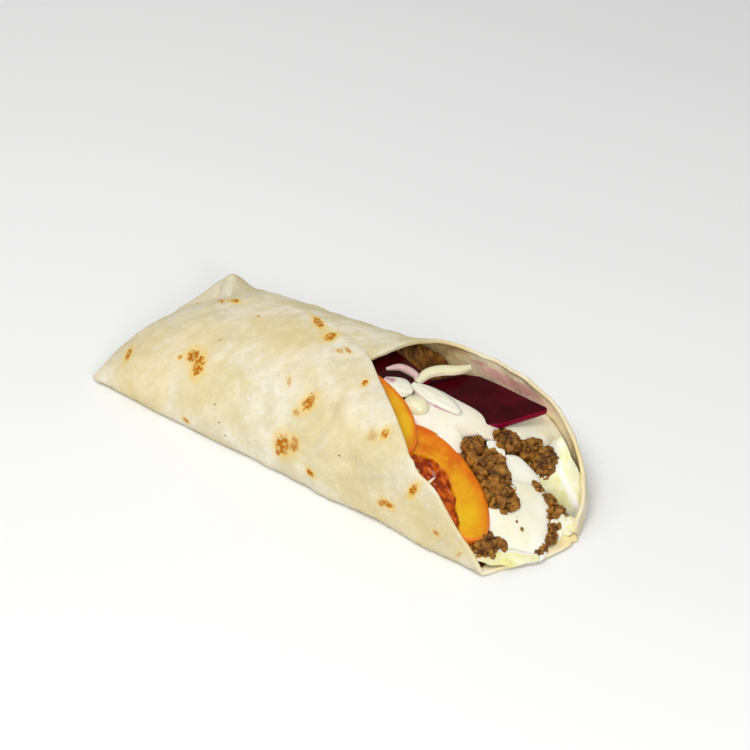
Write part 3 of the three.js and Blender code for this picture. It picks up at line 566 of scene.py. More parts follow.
def spot_group():
    """A toasted or stained spot: the length of the turned and scaled way from its centre, with noise for a
    ragged rim. Core is 1 inside the spot, and Halo fades out at about twice its size."""
    inputs = [("Place", "Vector", None), ("Centre", "Vector", None), ("Stretch", "Vector", (1, 1, 1)),
              ("Turn", "Float", 0.0), ("Ragged", "Float", 0.5)]
    tree, nodes, given, result = new_group("spot", inputs, [("Core", "Float"), ("Halo", "Float")])
    place, centre, stretch = (given.outputs[key] for key in ("Place", "Centre", "Stretch"))
    way = nodes.add("ShaderNodeVectorMath", {0: place, 1: centre}, operation="SUBTRACT").outputs[0]
    turned = nodes.add("ShaderNodeVectorRotate", {"Vector": way, "Angle": given.outputs["Turn"]},
                       rotation_type="Z_AXIS").outputs[0]
    scaled = nodes.add("ShaderNodeVectorMath", {0: turned, 1: stretch}, operation="MULTIPLY").outputs[0]
    length = nodes.add("ShaderNodeVectorMath", {0: scaled}, operation="LENGTH").outputs["Value"]
    grain = nodes.noise(place, 55.0, 3.0, 0.7)
    rough = nodes.math("MULTIPLY", nodes.math("SUBTRACT", grain, 0.5), given.outputs["Ragged"])
    ragged = nodes.math("ADD", length, nodes.math("MULTIPLY", rough, 3.0))
    nodes.feed(result.inputs["Core"], nodes.ramp(ragged, 1.15, 0.65))
    nodes.feed(result.inputs["Halo"], nodes.ramp(ragged, 2.4, 0.6))
    return tree


def grain_group():
    """Fine uneven relief: two noises of different size added, as a height from 0 to 1."""
    inputs = [("Place", "Vector", None), ("Coarse", "Float", 200.0), ("Fine", "Float", 900.0),
              ("Share", "Float", 0.5)]
    tree, nodes, given, result = new_group("grain", inputs, [("Height", "Float")])
    place, share = given.outputs["Place"], given.outputs["Share"]
    coarse, fine = (nodes.noise(place, given.outputs[key], 2.0) for key in ("Coarse", "Fine"))
    mixed = nodes.add("ShaderNodeMix", {0: share, 2: coarse, 3: fine}, data_type="FLOAT")
    nodes.feed(result.inputs["Height"], mixed.outputs[0])
    return tree


SPOT, GRAIN = spot_group(), grain_group()


def grainy(nodes, shader, place, grain, distance, strength, normal=None):
    """Fine relief on the surface; grain is its coarse scale, its fine scale and the fine one's share."""
    coarse, fine, share = grain
    inputs = {"Place": place, "Coarse": coarse, "Fine": fine, "Share": share}
    height = nodes.add("ShaderNodeGroup", inputs, node_tree=GRAIN).outputs["Height"]
    nodes.feed(shader.inputs["Normal"], nodes.bump(height, distance, strength, normal))


# Toasted spots on the sheet: (x, sheet distance), (length, width) in mm, turn in degrees, darkness.
TOASTED = (
    ((-94, -14.9), (3.4, 1.9), 65, 0.75), ((-56.7, -26.6), (3.6, 3.0), 20, 0.75),
    ((-51, -24.0), (4.4, 2.8), 70, 1.0), ((-62.5, -23.5), (1.0, 0.9), 0, 0.9),
    ((-74.4, -59.8), (3.2, 1.1), 10, 0.6), ((-66.5, -62.5), (3.0, 1.5), 0, 0.95),
    ((-16.5, -68.0), (5.0, 1.7), 25, 0.9), ((-4.7, -63.5), (2.4, 3.0), 0, 0.95),
    ((6.1, -58.4), (2.0, 1.2), 0, 0.55), ((8.8, -60.5), (2.4, 1.0), 20, 0.55),
    ((-44.9, -57.9), (0.9, 0.8), 0, 0.5), ((-4.7, -35.5), (2.6, 1.0), 60, 0.35),
    ((10, -32.1), (2.6, 3.6), 30, 0.8), ((6.1, -26.2), (1.5, 1.5), 0, 0.55),
    ((4.1, -11.5), (3.6, 4.2), 20, 0.75), ((10, -14.2), (2.4, 3.2), 0, 0.6),
    ((2.5, -7.5), (1.6, 1.4), 0, 0.7), ((19.9, -5.9), (2.0, 1.6), 0, 0.8),
    ((28.7, -51.1), (1.2, 1.7), 0, 0.8), ((51.3, -37.3), (1.8, 2.0), 0, 0.85),
    ((46.4, -34.2), (2.6, 2.2), 0, 0.3), ((69.9, -21.8), (3.4, 1.5), 115, 0.9),
    ((58.1, -9.6), (2.8, 1.5), 0, 0.85), ((55.0, -8.2), (1.4, 1.2), 0, 0.6),
    ((81.7, -7.9), (1.6, 1.3), 0, 0.5), ((92.5, -3.7), (2.0, 0.9), 120, 0.3),
    ((-46.9, -1.0), (1.7, 1.0), 0, 0.6), ((-96.5, -58.7), (0.9, 0.8), 0, 0.8),
    ((-30, 60), (6.0, 4.0), 30, 0.7), ((20, 34), (5.0, 3.0), 0, 0.7), ((-60, 128), (5.0, 3.0), 20, 0.6),
    ((60, 88), (4.5, 3.2), 40, 0.7), ((-70, 95), (4.0, 3.4), 0, 0.7),
)
# Small dark specks: (x, sheet distance).
SPECKS = ((-34.1, -13.1), (-29.2, -7.3), (-25.3, -3.1), (9.1, -35.9), (-50, -38), (33, -20))
# Broad tan patches, in the same terms.
TANNED = (
    ((-81, -12), (16, 8), 60, 0.55), ((-69, -5), (12, 6), 80, 0.6), ((-61, -27), (11, 9), 0, 0.5),
    ((30, -30), (18, 8), 60, 0.3), ((-20, -50), (20, 8), 20, 0.35), ((70, -12), (14, 6), 0, 0.3),
)
# Beet juice on the inner side, in the same terms.
STAINED = (
    ((45.4, 107.5), (3.0, 1.6), 20, 0.7), ((53.2, 104.5), (5.5, 2.4), 0, 0.8),
    ((64, 103.0), (9.0, 2.6), 0, 0.9), ((36, 111), (3.0, 1.0), 0, 0.5), ((76, 99), (6, 2.0), 0, 0.5),
)
PLACE_UNIT = 100.0    # millimetres of sheet in one unit of the UV map


def spots(nodes, place, table, ragged):
    """The strongest Core and Halo of a table of spots, each times its own darkness."""
    core, halo = 0.0, 0.0
    for (x, s), (length, width), turn, dark in table:
        inputs = {"Place": place, "Centre": (x / PLACE_UNIT, s / PLACE_UNIT, 0.0), "Ragged": ragged,
                  "Stretch": (PLACE_UNIT / length, PLACE_UNIT / width, 1.0), "Turn": -np.radians(turn)}
        spot = nodes.add("ShaderNodeGroup", inputs, node_tree=SPOT)
        core = nodes.math("MAXIMUM", core, nodes.math("MULTIPLY", spot.outputs["Core"], dark))
        halo = nodes.math("MAXIMUM", halo, nodes.math("MULTIPLY", spot.outputs["Halo"], dark))
    return core, halo


def tortilla_material():
    """Floury cream skin, mottled pale yellow, with toasted spots. The inner side is warmer and has beet
    juice on it."""
    material, nodes, shader = new_material("flour tortilla", Roughness=0.8, Specular_IOR_Level=0.1)
    place, flat = nodes.object_place(), nodes.uv_place()
    inside = nodes.attribute("inside")
    patches = nodes.ramp(nodes.noise(place, 34.0, 4.0, 0.6, 0.6), 0.36, 0.66)
    flecks = nodes.ramp(nodes.noise(place, 160.0, 3.0, 0.65), 0.35, 0.72)
    flour = nodes.ramp(nodes.noise(place, 420.0, 3.0, 0.7), 0.5, 0.8)
    base = nodes.blend(patches, srgb(232, 226, 208), srgb(216, 202, 156))
    shade = nodes.ramp(nodes.noise(place, 22.0, 5.0, 0.7, 1.2), 0.45, 0.7)
    base = nodes.over(base, shade, (202, 194, 170), 0.6)
    base = nodes.over(base, flecks, (214, 200, 152), 0.6)
    base = nodes.over(base, flour, (246, 241, 226), 0.35)
    inner = nodes.blend(patches, srgb(248, 234, 196), srgb(242, 218, 156))
    base = nodes.blend(inside, base, inner)
    _, tan_halo = spots(nodes, flat, TANNED, 0.35)
    base = nodes.over(base, tan_halo, (222, 196, 128), 0.75)
    core, halo = spots(nodes, flat, TOASTED, 0.5)
    outer = nodes.math("SUBTRACT", 1.0, inside)
    halo = nodes.math("MULTIPLY", nodes.math("MULTIPLY", halo, 0.85), outer)
    patchy = nodes.ramp(nodes.noise(place, 620.0, 2.0, 0.6), 0.36, 0.56, 0.35, 1.0)
    core = nodes.math("MULTIPLY", nodes.math("MULTIPLY", core, 1.4, True), patchy)
    core = nodes.math("MULTIPLY", core, outer)
    base = nodes.over(base, halo, (230, 192, 84))
    base = nodes.over(base, core, (178, 104, 2))
    speck_table = [((x, s), (0.45, 0.4), 0, 1.0) for x, s in SPECKS]
    speck, _ = spots(nodes, flat, speck_table, 0.0)
    base = nodes.over(base, nodes.math("MULTIPLY", speck, outer), (96, 78, 30))
    _, stain_halo = spots(nodes, flat, STAINED, 0.6)
    base = nodes.over(base, nodes.math("MULTIPLY", stain_halo, inside), (226, 140, 150), 0.8)
    nodes.feed(shader.inputs["Base Color"], base)
    blisters = nodes.bump(nodes.noise(place, 60.0, 2.0, 0.5), 0.0022, 0.8)
    grainy(nodes, shader, place, (150.0, 900.0, 0.35), 0.0007, 0.9, blisters)
    return material


def tomato_material():
    """Wet orange flesh, redder near the skin and the gel; the gel is deep red-orange and glossy."""
    material, nodes, shader = new_material(
        "tomato flesh", Specular_IOR_Level=0.24, Coat_Weight=0.06, Coat_Roughness=0.1,
        Subsurface_Weight=0.08, Subsurface_Radius=(0.004, 0.0016, 0.0006), Subsurface_Scale=1.0)
    place = nodes.object_place()
    gel, skin = nodes.attribute("gel"), nodes.attribute("skin")
    cloudy = nodes.ramp(nodes.noise(place, 190.0, 4.0, 0.6), 0.35, 0.65)
    flesh = nodes.blend(cloudy, srgb(224, 150, 16), srgb(206, 106, 4))
    flesh = nodes.over(flesh, nodes.attribute("yellow"), (224, 176, 18))
    seedy = nodes.ramp(nodes.noise(place, 300.0, 2.0), 0.42, 0.6)
    deep = nodes.blend(seedy, srgb(136, 44, 2), srgb(198, 92, 8))
    colour = nodes.blend(gel, flesh, deep)
    colour = nodes.over(colour, nodes.attribute("red"), (216, 84, 4), 0.5)
    colour = nodes.over(colour, skin, (226, 120, 30))
    nodes.feed(shader.inputs["Base Color"], colour)
    nodes.feed(shader.inputs["Roughness"], nodes.ramp(gel, 0.0, 1.0, 0.36, 0.14))
    grainy(nodes, shader, place, (260.0, 1300.0, 0.4), 0.0004, 0.6)
    return material


def beet_material():
    """Wet dark maroon with faint clouds, and a brighter magenta rim where light comes through."""
    material, nodes, shader = new_material("pickled beet", Roughness=0.26, Specular_IOR_Level=0.12)
    place = nodes.object_place()
    rim = nodes.attribute("rim")
    clouds = nodes.ramp(nodes.noise(place, 90.0, 4.0, 0.6), 0.35, 0.7)
    face = nodes.blend(clouds, srgb(50, 0, 6), srgb(74, 2, 14))
    nodes.feed(shader.inputs["Base Color"], nodes.blend(rim, face, srgb(134, 4, 46)))
    grainy(nodes, shader, place, (220.0, 1000.0, 0.4), 0.0003, 0.5)
    return material


def onion_material():
    """Wet white layers with fine veins along their length, yellow and purple where the attributes say."""
    material, nodes, shader = new_material(
        "raw onion", Roughness=0.24, Specular_IOR_Level=0.5, Coat_Weight=0.4, Coat_Roughness=0.1,
        Subsurface_Weight=0.3, Subsurface_Radius=(0.002, 0.002, 0.0014), Subsurface_Scale=1.0)
    flat = nodes.uv_place()
    stretched = nodes.add("ShaderNodeMapping", {"Vector": flat, "Scale": (2.0, 26.0, 1.0)}).outputs[0]
    veins = nodes.ramp(nodes.noise(stretched, 1.0, 3.0, 0.6), 0.35, 0.65)
    colour = nodes.blend(veins, srgb(238, 236, 220), srgb(220, 216, 190))
    colour = nodes.over(colour, nodes.attribute("yellow"), (232, 226, 168))
    colour = nodes.over(colour, nodes.attribute("purple"), (176, 44, 120))
    nodes.feed(shader.inputs["Base Color"], colour)
    nodes.feed(shader.inputs["Normal"], nodes.bump(veins, 0.0002, 0.4))
    return material


def beef_material():
    """Browned crumbs: mid brown with paler flecks and uneven gloss, and painted shade in the cracks and
    valleys.
    """
    material, nodes, shader = new_material(
        "browned beef", Specular_IOR_Level=0.22, Coat_Weight=0.05, Coat_Roughness=0.2)
    place = nodes.object_place()
    crumb = nodes.ramp(nodes.noise(place, 260.0, 3.0, 0.6), 0.3, 0.7)
    bits = nodes.ramp(nodes.noise(place, 700.0, 3.0, 0.65), 0.45, 0.7)
    colour = nodes.blend(crumb, srgb(128, 80, 20), srgb(176, 118, 36))
    colour = nodes.over(colour, bits, (190, 140, 62), 0.5)
    # painted shade: darker in the cracks, in the valleys and on the sunk sides of crumbs, read from the
    # mesh attribute
    colour = nodes.over(colour, nodes.attribute("crack"), (70, 38, 8))
    nodes.feed(shader.inputs["Base Color"], colour)
    nodes.feed(shader.inputs["Roughness"], nodes.ramp(crumb, 0.0, 1.0, 0.62, 0.42))
    grainy(nodes, shader, place, (500.0, 1600.0, 0.5), 0.0007, 0.9)
    return material


def sauce_material():
    """Thick ivory garlic sauce, smooth and glossy."""
    material, nodes, shader = new_material(
        "garlic sauce", Roughness=0.16, Specular_IOR_Level=0.5, Coat_Weight=0.4, Coat_Roughness=0.06,
        Subsurface_Weight=0.35, Subsurface_Radius=(0.003, 0.0026, 0.0018), Subsurface_Scale=1.0)
    place = nodes.object_place()
    clouds = nodes.ramp(nodes.noise(place, 70.0, 3.0), 0.35, 0.7)
    colour = nodes.blend(clouds, srgb(248, 246, 230), srgb(240, 235, 206))
    colour = nodes.over(colour, nodes.attribute("tinted"), (232, 196, 190))
    nodes.feed(shader.inputs["Base Color"], colour)
    nodes.feed(shader.inputs["Normal"], nodes.bump(nodes.noise(place, 180.0, 2.0), 0.0004, 0.35))
    return material


def lettuce_material():
    """Thin pale leaf: nearly white at its ribs and yellow-green between them, with some light in it."""
    material, nodes, shader = new_material(
        "pale lettuce", Roughness=0.38, Specular_IOR_Level=0.45,
        Subsurface_Weight=0.4, Subsurface_Radius=(0.003, 0.003, 0.001), Subsurface_Scale=1.0)
    place = nodes.object_place()
    blotch = nodes.ramp(nodes.noise(place, 90.0, 3.0, 0.6), 0.35, 0.65)
    colour = nodes.blend(blotch, srgb(250, 247, 212), srgb(238, 233, 150))
    colour = nodes.over(colour, nodes.attribute("rib"), (246, 245, 224))
    nodes.feed(shader.inputs["Base Color"], colour)
    grainy(nodes, shader, place, (240.0, 900.0, 0.4), 0.0006, 0.6)
    return material


TORTILLA, TOMATO, BEET, ONION = tortilla_material(), tomato_material(), beet_material(), onion_material()
BEEF, SAUCE, LETTUCE = beef_material(), sauce_material(), lettuce_material()


# ---------- tortilla ----------
# Creases of the sheet: (x, sheet distance) of both ends, half width in mm and depth.
CREASES = (
    ((14.9, -7.6), (24.8, -31.6), 2.2, 0.7), ((36, -26), (44, -33), 3.0, 0.7),
    ((8.1, -33.8), (7.1, -40.5), 1.6, 0.4), ((58, -24), (66, -31), 1.8, 0.8),
    ((-40, -20), (-20, -26), 3.0, 0.35), ((24, -14), (40, -20), 3.0, 0.5),
    ((38, -34), (52, -38), 2.4, 0.5), ((20, -36), (30, -46), 2.6, 0.4),
    ((2, -20), (12, -30), 2.2, 0.4), ((46, -12), (58, -20), 2.6, 0.5),
    ((-16, -34), (-6, -46), 3.0, 0.35),
)


def unevenness(p, places):
    """How far the sheet's skin stands out: soft swells, small blisters, and creases as Gaussian valleys
    round short lines that waver."""
    height = 0.65 * layered(p, 24.0, 3, 3) + 0.34 * layered(p, 7.0, 3, 8)
    bend = 1.2 * waves(p, 5.0, 4)
    for start, end, width, depth in CREASES:
        start, way = np.array(start), np.subtract(end, start)
        t = np.clip(((places - start) @ way) / (way @ way), 0, 1)
        gap = np.linalg.norm(places - start - t[..., None] * way, axis=-1)
        height = height - 1.5 * depth * np.exp(-((gap + bend) / width)**2)
    return height


TOE_FOLD_ENDS = 2.5, 2.0    # how far the fold stops short of the near and the far side


def toe_fold(stations=90, bends=12):
    """The closed end's fold: half circles from the topmost layer's end to the lowest layer's end."""
    x = TOE_X + TOE_LENGTH * (1 - np.sin(np.radians(TOE_TURN)))
    s = np.linspace(float(near_edge(x)), float(along(x, FAR_REACH)), 800)
    end = sheet_points(x, s)
    widest = int(np.argmax(end[:, 1]))
    flap, bottom = s <= 0, (s > 0) & (np.arange(len(s)) < widest)
    back = np.arange(len(s)) >= widest
    y = np.linspace(TOE_FOLD_ENDS[0], end[widest, 1] - TOE_FOLD_ENDS[1], stations)

    def layer_at_y(mask):
        """One layer's x, y, z and sheet distance at each station's y."""
        order = np.argsort(end[mask, 1])
        values = np.column_stack([end, s])[mask][order].T
        return np.stack([np.interp(y, values[1], row) for row in values], -1)

    over = y < end[0, 1]
    top = np.where(over[:, None], layer_at_y(flap), layer_at_y(back))
    low = layer_at_y(bottom)
    centre, half = (top[:, :3] + low[:, :3]) / 2, (top[:, :3] - low[:, :3]) / 2
    half[:, 1] = 0
    bend = np.linspace(0, np.pi, bends + 1)
    size = np.linalg.norm(half, axis=-1)
    grid = centre[:, None] + half[:, None] * np.cos(bend)[None, :, None]
    grid[..., 0] -= size[:, None] * np.sin(bend)[None]
    share = (1 - np.cos(bend)) / 2
    sheet_s = top[:, 3:] * (1 - share) + low[:, 3:] * share
    return grid, np.stack([np.full_like(sheet_s, TOE_X), sheet_s], -1)


def sheet_part(middle, places, half, inside):
    """A thick sheet with each point's place on the flat sheet and its side times inside as values."""
    points, quads, values = thick_sheet(middle, half)
    row, column = values[:, 0].astype(int), values[:, 1].astype(int)
    return points, quads, np.column_stack([places[row, column], values[:, 2] * inside])


def tortilla():
    """The uneven sheet, whose thickness wavers, and its fold at the closed end."""
    middle, places = sheet_grid()
    middle = middle - grid_normals(middle) * unevenness(middle, places)[..., None]
    half = SHEET_THICK / 2 * (1 + 0.12 * waves(middle, 9.0, 12))
    middle[..., 2] = np.maximum(middle[..., 2], SHEET_THICK / 2)
    fold, fold_places = toe_fold()
    points, quads, values = joined(sheet_part(middle, places, half, 1),
                                   sheet_part(fold, fold_places, SHEET_THICK / 2, 0))
    points[:, 2] = np.maximum(points[:, 2], 0)
    make_piece("tortilla_sheet", points, quads, TORTILLA, ["tortilla"],
               values[:, :2] / PLACE_UNIT, {"inside": values[:, 2]})


# ---------- tomato ----------
FRONT_SLICE = (72.2, 13.1, 21.9)
# Outline of its pocket of gel, in the slice's own plane.
FRONT_GEL = ((-14.6, -4.8), (-13.8, -1.5), (-11.1, 1), (-8.3, 3), (-4, 3.6), (1.8, 3.2), (7.3, 1.8),
             (13, -1.4), (18.5, -4), (21.5, -7.5), (21, -11.5), (12, -12), (0, -12), (-12, -10))


def tomato(name, node, long, wide, thick, place, normal, ahead, gel_outline, heart, seed):
    """A cut slice: an oval slab with a sunken pocket of gel. A point is in the pocket by its signed
    distance to the pocket's closed outline, which is given in the slice's own plane."""
    angle = np.linspace(0, 2 * np.pi, 260, endpoint=False)
    swell = 1 + 0.012 * np.sin(3 * angle + seed) + 0.008 * np.sin(7 * angle)
    rim = np.stack([long * swell * np.cos(angle), wide * swell * np.sin(angle), 0 * angle], -1)
    outline = placed(rim, place, normal, ahead)
    centre, up = np.array(place, float), unit(np.array(normal, float))
    side = unit(np.cross(up, np.array(ahead, float)))
    front = np.cross(side, up)
    half = thick / 2
    heart = np.array(heart, float)
    outline = kept_inside(outline, heart, 0.4, (up * half, -up * half))
    pocket = closed_curve(gel_outline, 90) if gel_outline else None

    def depth_in_pocket(p):
        """Signed distance to the pocket's outline, positive inside, in mm."""
        if pocket is None:
            return np.full(p.shape[:-1], -9.0)
        flat = np.stack([(p - centre) @ front, (p - centre) @ side], -1)
        flat = flat + 0.7 * np.stack([waves(p, 2.6, seed), waves(p, 2.6, seed + 1)], -1)
        way = flat[..., None, :] - pocket
        distance = np.sqrt((way**2).sum(-1)).min(-1)
        a, b = pocket, np.roll(pocket, -1, 0)
        py = flat[..., 1][..., None]
        crosses = (a[:, 1] > py) != (b[:, 1] > py)
        rise = np.where(np.abs(b[:, 1] - a[:, 1]) < 1e-9, 1e-9, b[:, 1] - a[:, 1])
        hit = a[:, 0] + (py - a[:, 1]) / rise * (b[:, 0] - a[:, 0])
        inside = ((crosses & (flat[..., 0][..., None] < hit)).sum(-1) % 2) == 1
        return np.where(inside, distance, -distance)

    def relief(share, p):
        """The gel is sunk and lumpy, the flesh swells softly and its edge falls off."""
        gel = ease(-0.1, 0.9, depth_in_pocket(p))
        lumps = 0.7 * ridged(p, 2.8, seed + 7)
        edge = ease(0.95, 1.0, share)**2
        return -gel * (1.7 - 0.9 * lumps) + 0.16 * layered(p, 6.0, 3, seed) - 0.6 * edge

    points, quads, values = slab(outline, heart, up, half, 80, relief, 0.9)
    gel = ease(-0.3, 0.4, depth_in_pocket(points)) * (values[:, 1] > 0.9)
    skin = ease(0.985, 0.999, values[:, 0])
    way = (points - centre) @ front / long
    yellow = ease(-0.5, 0.9, way + 0.25 * waves(points, 7.0, seed + 2)) - 0.5 * ease(0.7, 1.0, values[:, 0])
    red = ease(0.6, 0.95, values[:, 0]) * ease(-0.3, 0.5, (points - centre) @ side / wide)
    make_piece(name, points, quads, TOMATO, [node],
               values={"gel": gel, "skin": skin, "yellow": np.clip(yellow, 0, 1), "red": red})


# ---------- beet ----------
def beet(name, node, flat, thick, place, normal, ahead, margin, seed):
    """A slab cut to a flat outline, whose corners three running means over three points soften."""
    flat = flat + 0.2 * np.sin(flat[:, :1] / 5 + seed)
    for _ in range(3):
        flat = (np.roll(flat, 1, 0) + flat + np.roll(flat, -1, 0)) / 3
    outline = placed(np.column_stack([flat, 0 * flat[:, 0]]), place, normal, ahead)
    up = unit(np.array(normal, float))
    centre = outline.mean(0)
    outline = kept_inside(outline, centre, margin, (up * thick / 2, -up * thick / 2))

    def relief(share, p):
        """Soft swells, and an edge that falls off."""
        return 0.12 * layered(p, 7.0, 2, seed) - 0.1 * ease(0.93, 1.0, share)

    points, quads, values = slab(outline, centre, up, thick / 2, 40, relief, 0.35)
    rim = (values[:, 1] < 0.9) * 1.0
    make_piece(name, points, quads, BEET, [node], values={"rim": rim})


BEET_CORNERS = [(26, -3.2), (10, -2.2), (-6, -1.5), (-13, -4), (-19.5, -11), (-25, -15.2), (-22, -18.5),
                (-14, -21.5), (-6, -24), (2, -24.6), (8, -23.7), (13, -20.5), (17, -15.5), (22, -9)]
OUTLINE_POINTS = 170


def polygon(corners):
    """Evenly spread points along a closed run of straight sides."""
    p = np.array(corners + corners[:1], float)
    run = np.concatenate([[0], np.cumsum(np.linalg.norm(np.diff(p, axis=0), axis=1))])
    t = np.linspace(0, run[-1], OUTLINE_POINTS, endpoint=False)
    return np.stack([np.interp(t, run, p[:, 0]), np.interp(t, run, p[:, 1])], -1)


def half_ellipse(length, depth):
    """The lower half of an ellipse, closed by its long axis."""
    arc = np.linspace(np.pi, 2 * np.pi, 40)
    return polygon(list(zip(length / 2 * np.cos(arc), depth * np.sin(arc))))


# ---------- onion ----------
def onion(name, node, path, width, thick, bow, lean, purple, yellow=0.0, blunt=0.3):
    """A layer of onion: it follows a path, bows across its width as a parabola, narrows to its ends as a
    power of a sine and thins to its edges. Purple lists patches: ranges along and across, and strength."""
    along_steps, across_steps = 90, 26
    middle = open_curve(path, along_steps)
    way = unit(np.gradient(middle, axis=0))
    u = np.linspace(0, 1, along_steps)
    v = np.linspace(-1, 1, across_steps)
    lean = np.array(lean, float)
    side = unit(lean - (way @ lean)[:, None] * way)
    up = np.cross(way, side)
    taper = blunt + (1 - blunt) * np.sin(np.pi * np.clip(u, 0.02, 0.98))**0.6
    grid = (middle[:, None] + side[:, None] * (v[None, :, None] * width / 2 * taper[:, None, None])
            + up[:, None] * (bow * (1 - v**2))[None, :, None])
    thin_ends = 0.4 + 0.6 * np.sin(np.pi * np.clip(u, 0.06, 0.94))**0.4
    half = thick / 2 * (1 - 0.6 * np.abs(v)**3)[None] * thin_ends[:, None]
    points, quads, values = thick_sheet(grid, half)
    place_u, place_v = values[:, 0] / (along_steps - 1), values[:, 1] / (across_steps - 1)
    tint = np.zeros(len(points))
    for (u0, u1), (v0, v1), strength in purple:
        spread_u = ease(u0 - 0.06, u0 + 0.02, place_u) * ease(u1 + 0.06, u1 - 0.02, place_u)
        spread_v = ease(v0 - 0.08, v0 + 0.02, place_v) * ease(v1 + 0.08, v1 - 0.02, place_v)
        tint = np.maximum(tint, strength * spread_u * spread_v)
    make_piece(name, points, quads, ONION, [node], np.column_stack([place_u, place_v]),
               {"purple": tint, "yellow": np.full(len(points), yellow)})


BULB_RADII, BULB_PLACE = np.array([5.4, 4.8, 4.0]), np.array([46.0, 33.2, 35.4])


def onion_bulb():
    """A slightly uneven ellipsoid."""
    ways, quads = ball(24)
    points = ways * BULB_RADII
    points = points + BULB_PLACE + ways * 0.25 * waves(points, 4.0, 3)[:, None]
    make_piece("onion_heart", points, quads, ONION, ["onion_bulb"], ways[:, :2] * 0.5 + 0.5,
               {"purple": np.zeros(len(points)), "yellow": np.full(len(points), 0.55)})


# ---------- beef ----------
# Lumps of meat: place and radii, mm.
BEEF_NEAR = (((72.5, 34.5, 25), (6, 7, 6.5)), ((81, 34, 20), (7.5, 9, 8.5)),
             ((91.5, 27.5, 14.5), (8, 8.5, 7.5)), ((86.5, 31, 18), (7, 8, 7.5)),
             ((97.5, 9.5, 7.5), (7, 7.5, 5)))
BEEF_FAR = (((77.5, 49.5, 21.5), (8, 7.5, 7)), ((85.5, 57, 18), (6, 7, 5)),
            ((93.5, 56.5, 15.5), (8, 9.5, 7.5)))
BEEF_STRING = (((96, 44, 13.2), (6, 2.6, 2.4)), ((103, 44, 9.4), (4.4, 3.4, 2.8)),
               ((107.5, 42, 6.4), (4.5, 6, 3.6)), ((111, 36, 4.8), (3.4, 4.5, 2.6)),
               ((113, 30, 4), (3, 4.6, 2.4)), ((113.5, 23.5, 3.4), (2.6, 4.8, 2)))
CRUMB, STRING_CRUMB = 2.0, 1.5    # usual radius of one crumb
BED_X, BED_NEAR_Y, BED_FAR_GAP, BED_GAP = (-86, 101), 2.5, 2.6, 0.6
# The bed lies BED_DEPTH under the face of the heap, and BED_DIP lower by the far wall.
BED_DEPTH, BED_DIP, DIP_Y, DIP_X, OPEN_X = 3.5, 11.0, (56, 70), (22, 32), (4, 12)
COVER_LIFT = 30.0    # lifts the face out of the way where a layer covers the filling
COARSE_BUMPS, FINE_BUMPS = (4.6, 5), (2.4, 6)    # size and seed


def ridged(p, size, seed):
    """Billowed noise: round swells that meet in sharp valleys, from -1 to 1."""
    return 2 * np.abs(waves(p, size, seed)) - 1


def crumb_heap(lumps, seed, crumb):
    """Each lump is an ellipsoid whose skin billows at three sizes, with small crumbs half sunk in it on a
    golden-angle spiral. The value of a point is painted shade: high in the valleys and on each crumb's
    side sunk towards its lump."""
    draw = np.random.default_rng(seed)
    small, small_quads = ball(7)
    big, big_quads = ball(44)
    parts = []
    for place, radii in lumps:
        place, radii = np.array(place, float), np.array(radii, float)
        size = min(crumb, radii.min() * 0.5)
        mean = radii.mean()
        at = place + big * radii
        coarse = ridged(at, mean * 0.8, seed)
        middling, fine = ridged(at, 2.6, seed + 1), ridged(at, 1.2, seed + 2)
        rise = 0.16 * mean * coarse + 0.75 * middling * min(1, mean / 6) + 0.3 * fine
        core = place + big * (radii - 0.05 * mean)
        core = core + big * rise[:, None]
        # painted shade in the valleys of the lump's billows
        valley = ease(0.1, -0.9, coarse) * 0.3 + ease(-0.1, -1.0, middling) * 0.6
        valley = valley + ease(0.0, -1.0, fine) * 0.3
        parts.append((core, big_quads, np.minimum(valley, 1)[:, None]))
        count = int(np.clip(0.9 * (mean / size)**2, 5, 16))
        k = np.arange(count) + 0.5
        lift = 1 - 2 * k / count
        spin = k * np.pi * (3 - np.sqrt(5)) + draw.uniform(0, 6)
        out = np.stack([np.sqrt(1 - lift**2) * np.cos(spin), np.sqrt(1 - lift**2) * np.sin(spin), lift], -1)
        for d in unit(out + draw.normal(0, 0.3, out.shape)):
            grow = size * draw.uniform(0.5, 1.25)
            middle = place + d * (radii - size * draw.uniform(0.5, 1.1))
            turn = unit(draw.normal(0, 1, (3, 3)))
            turn[1] = unit(np.cross(turn[0], turn[1]))
            turn[2] = np.cross(turn[0], turn[1])
            stretch = np.array([draw.uniform(*span) for span in ((1.0, 1.5), (0.7, 1.1), (0.5, 0.9))])
            p = (small * (grow * stretch)) @ turn
            swell = 0.3 * ridged(p + draw.uniform(0, 90, 3), 1.5, seed) + 0.12 * ridged(p, 0.7, seed + 2)
            p = p * (1 + swell)[:, None]
            # painted shade on the crumb's side sunk towards the lump and in its valleys
            depth = ease(0.3, -0.8, small @ (turn @ d)) * 0.8 + ease(0.05, -0.6, swell) * 0.5
            parts.append((middle + p, small_quads, np.minimum(depth, 1)[:, None]))
    return joined(*parts)


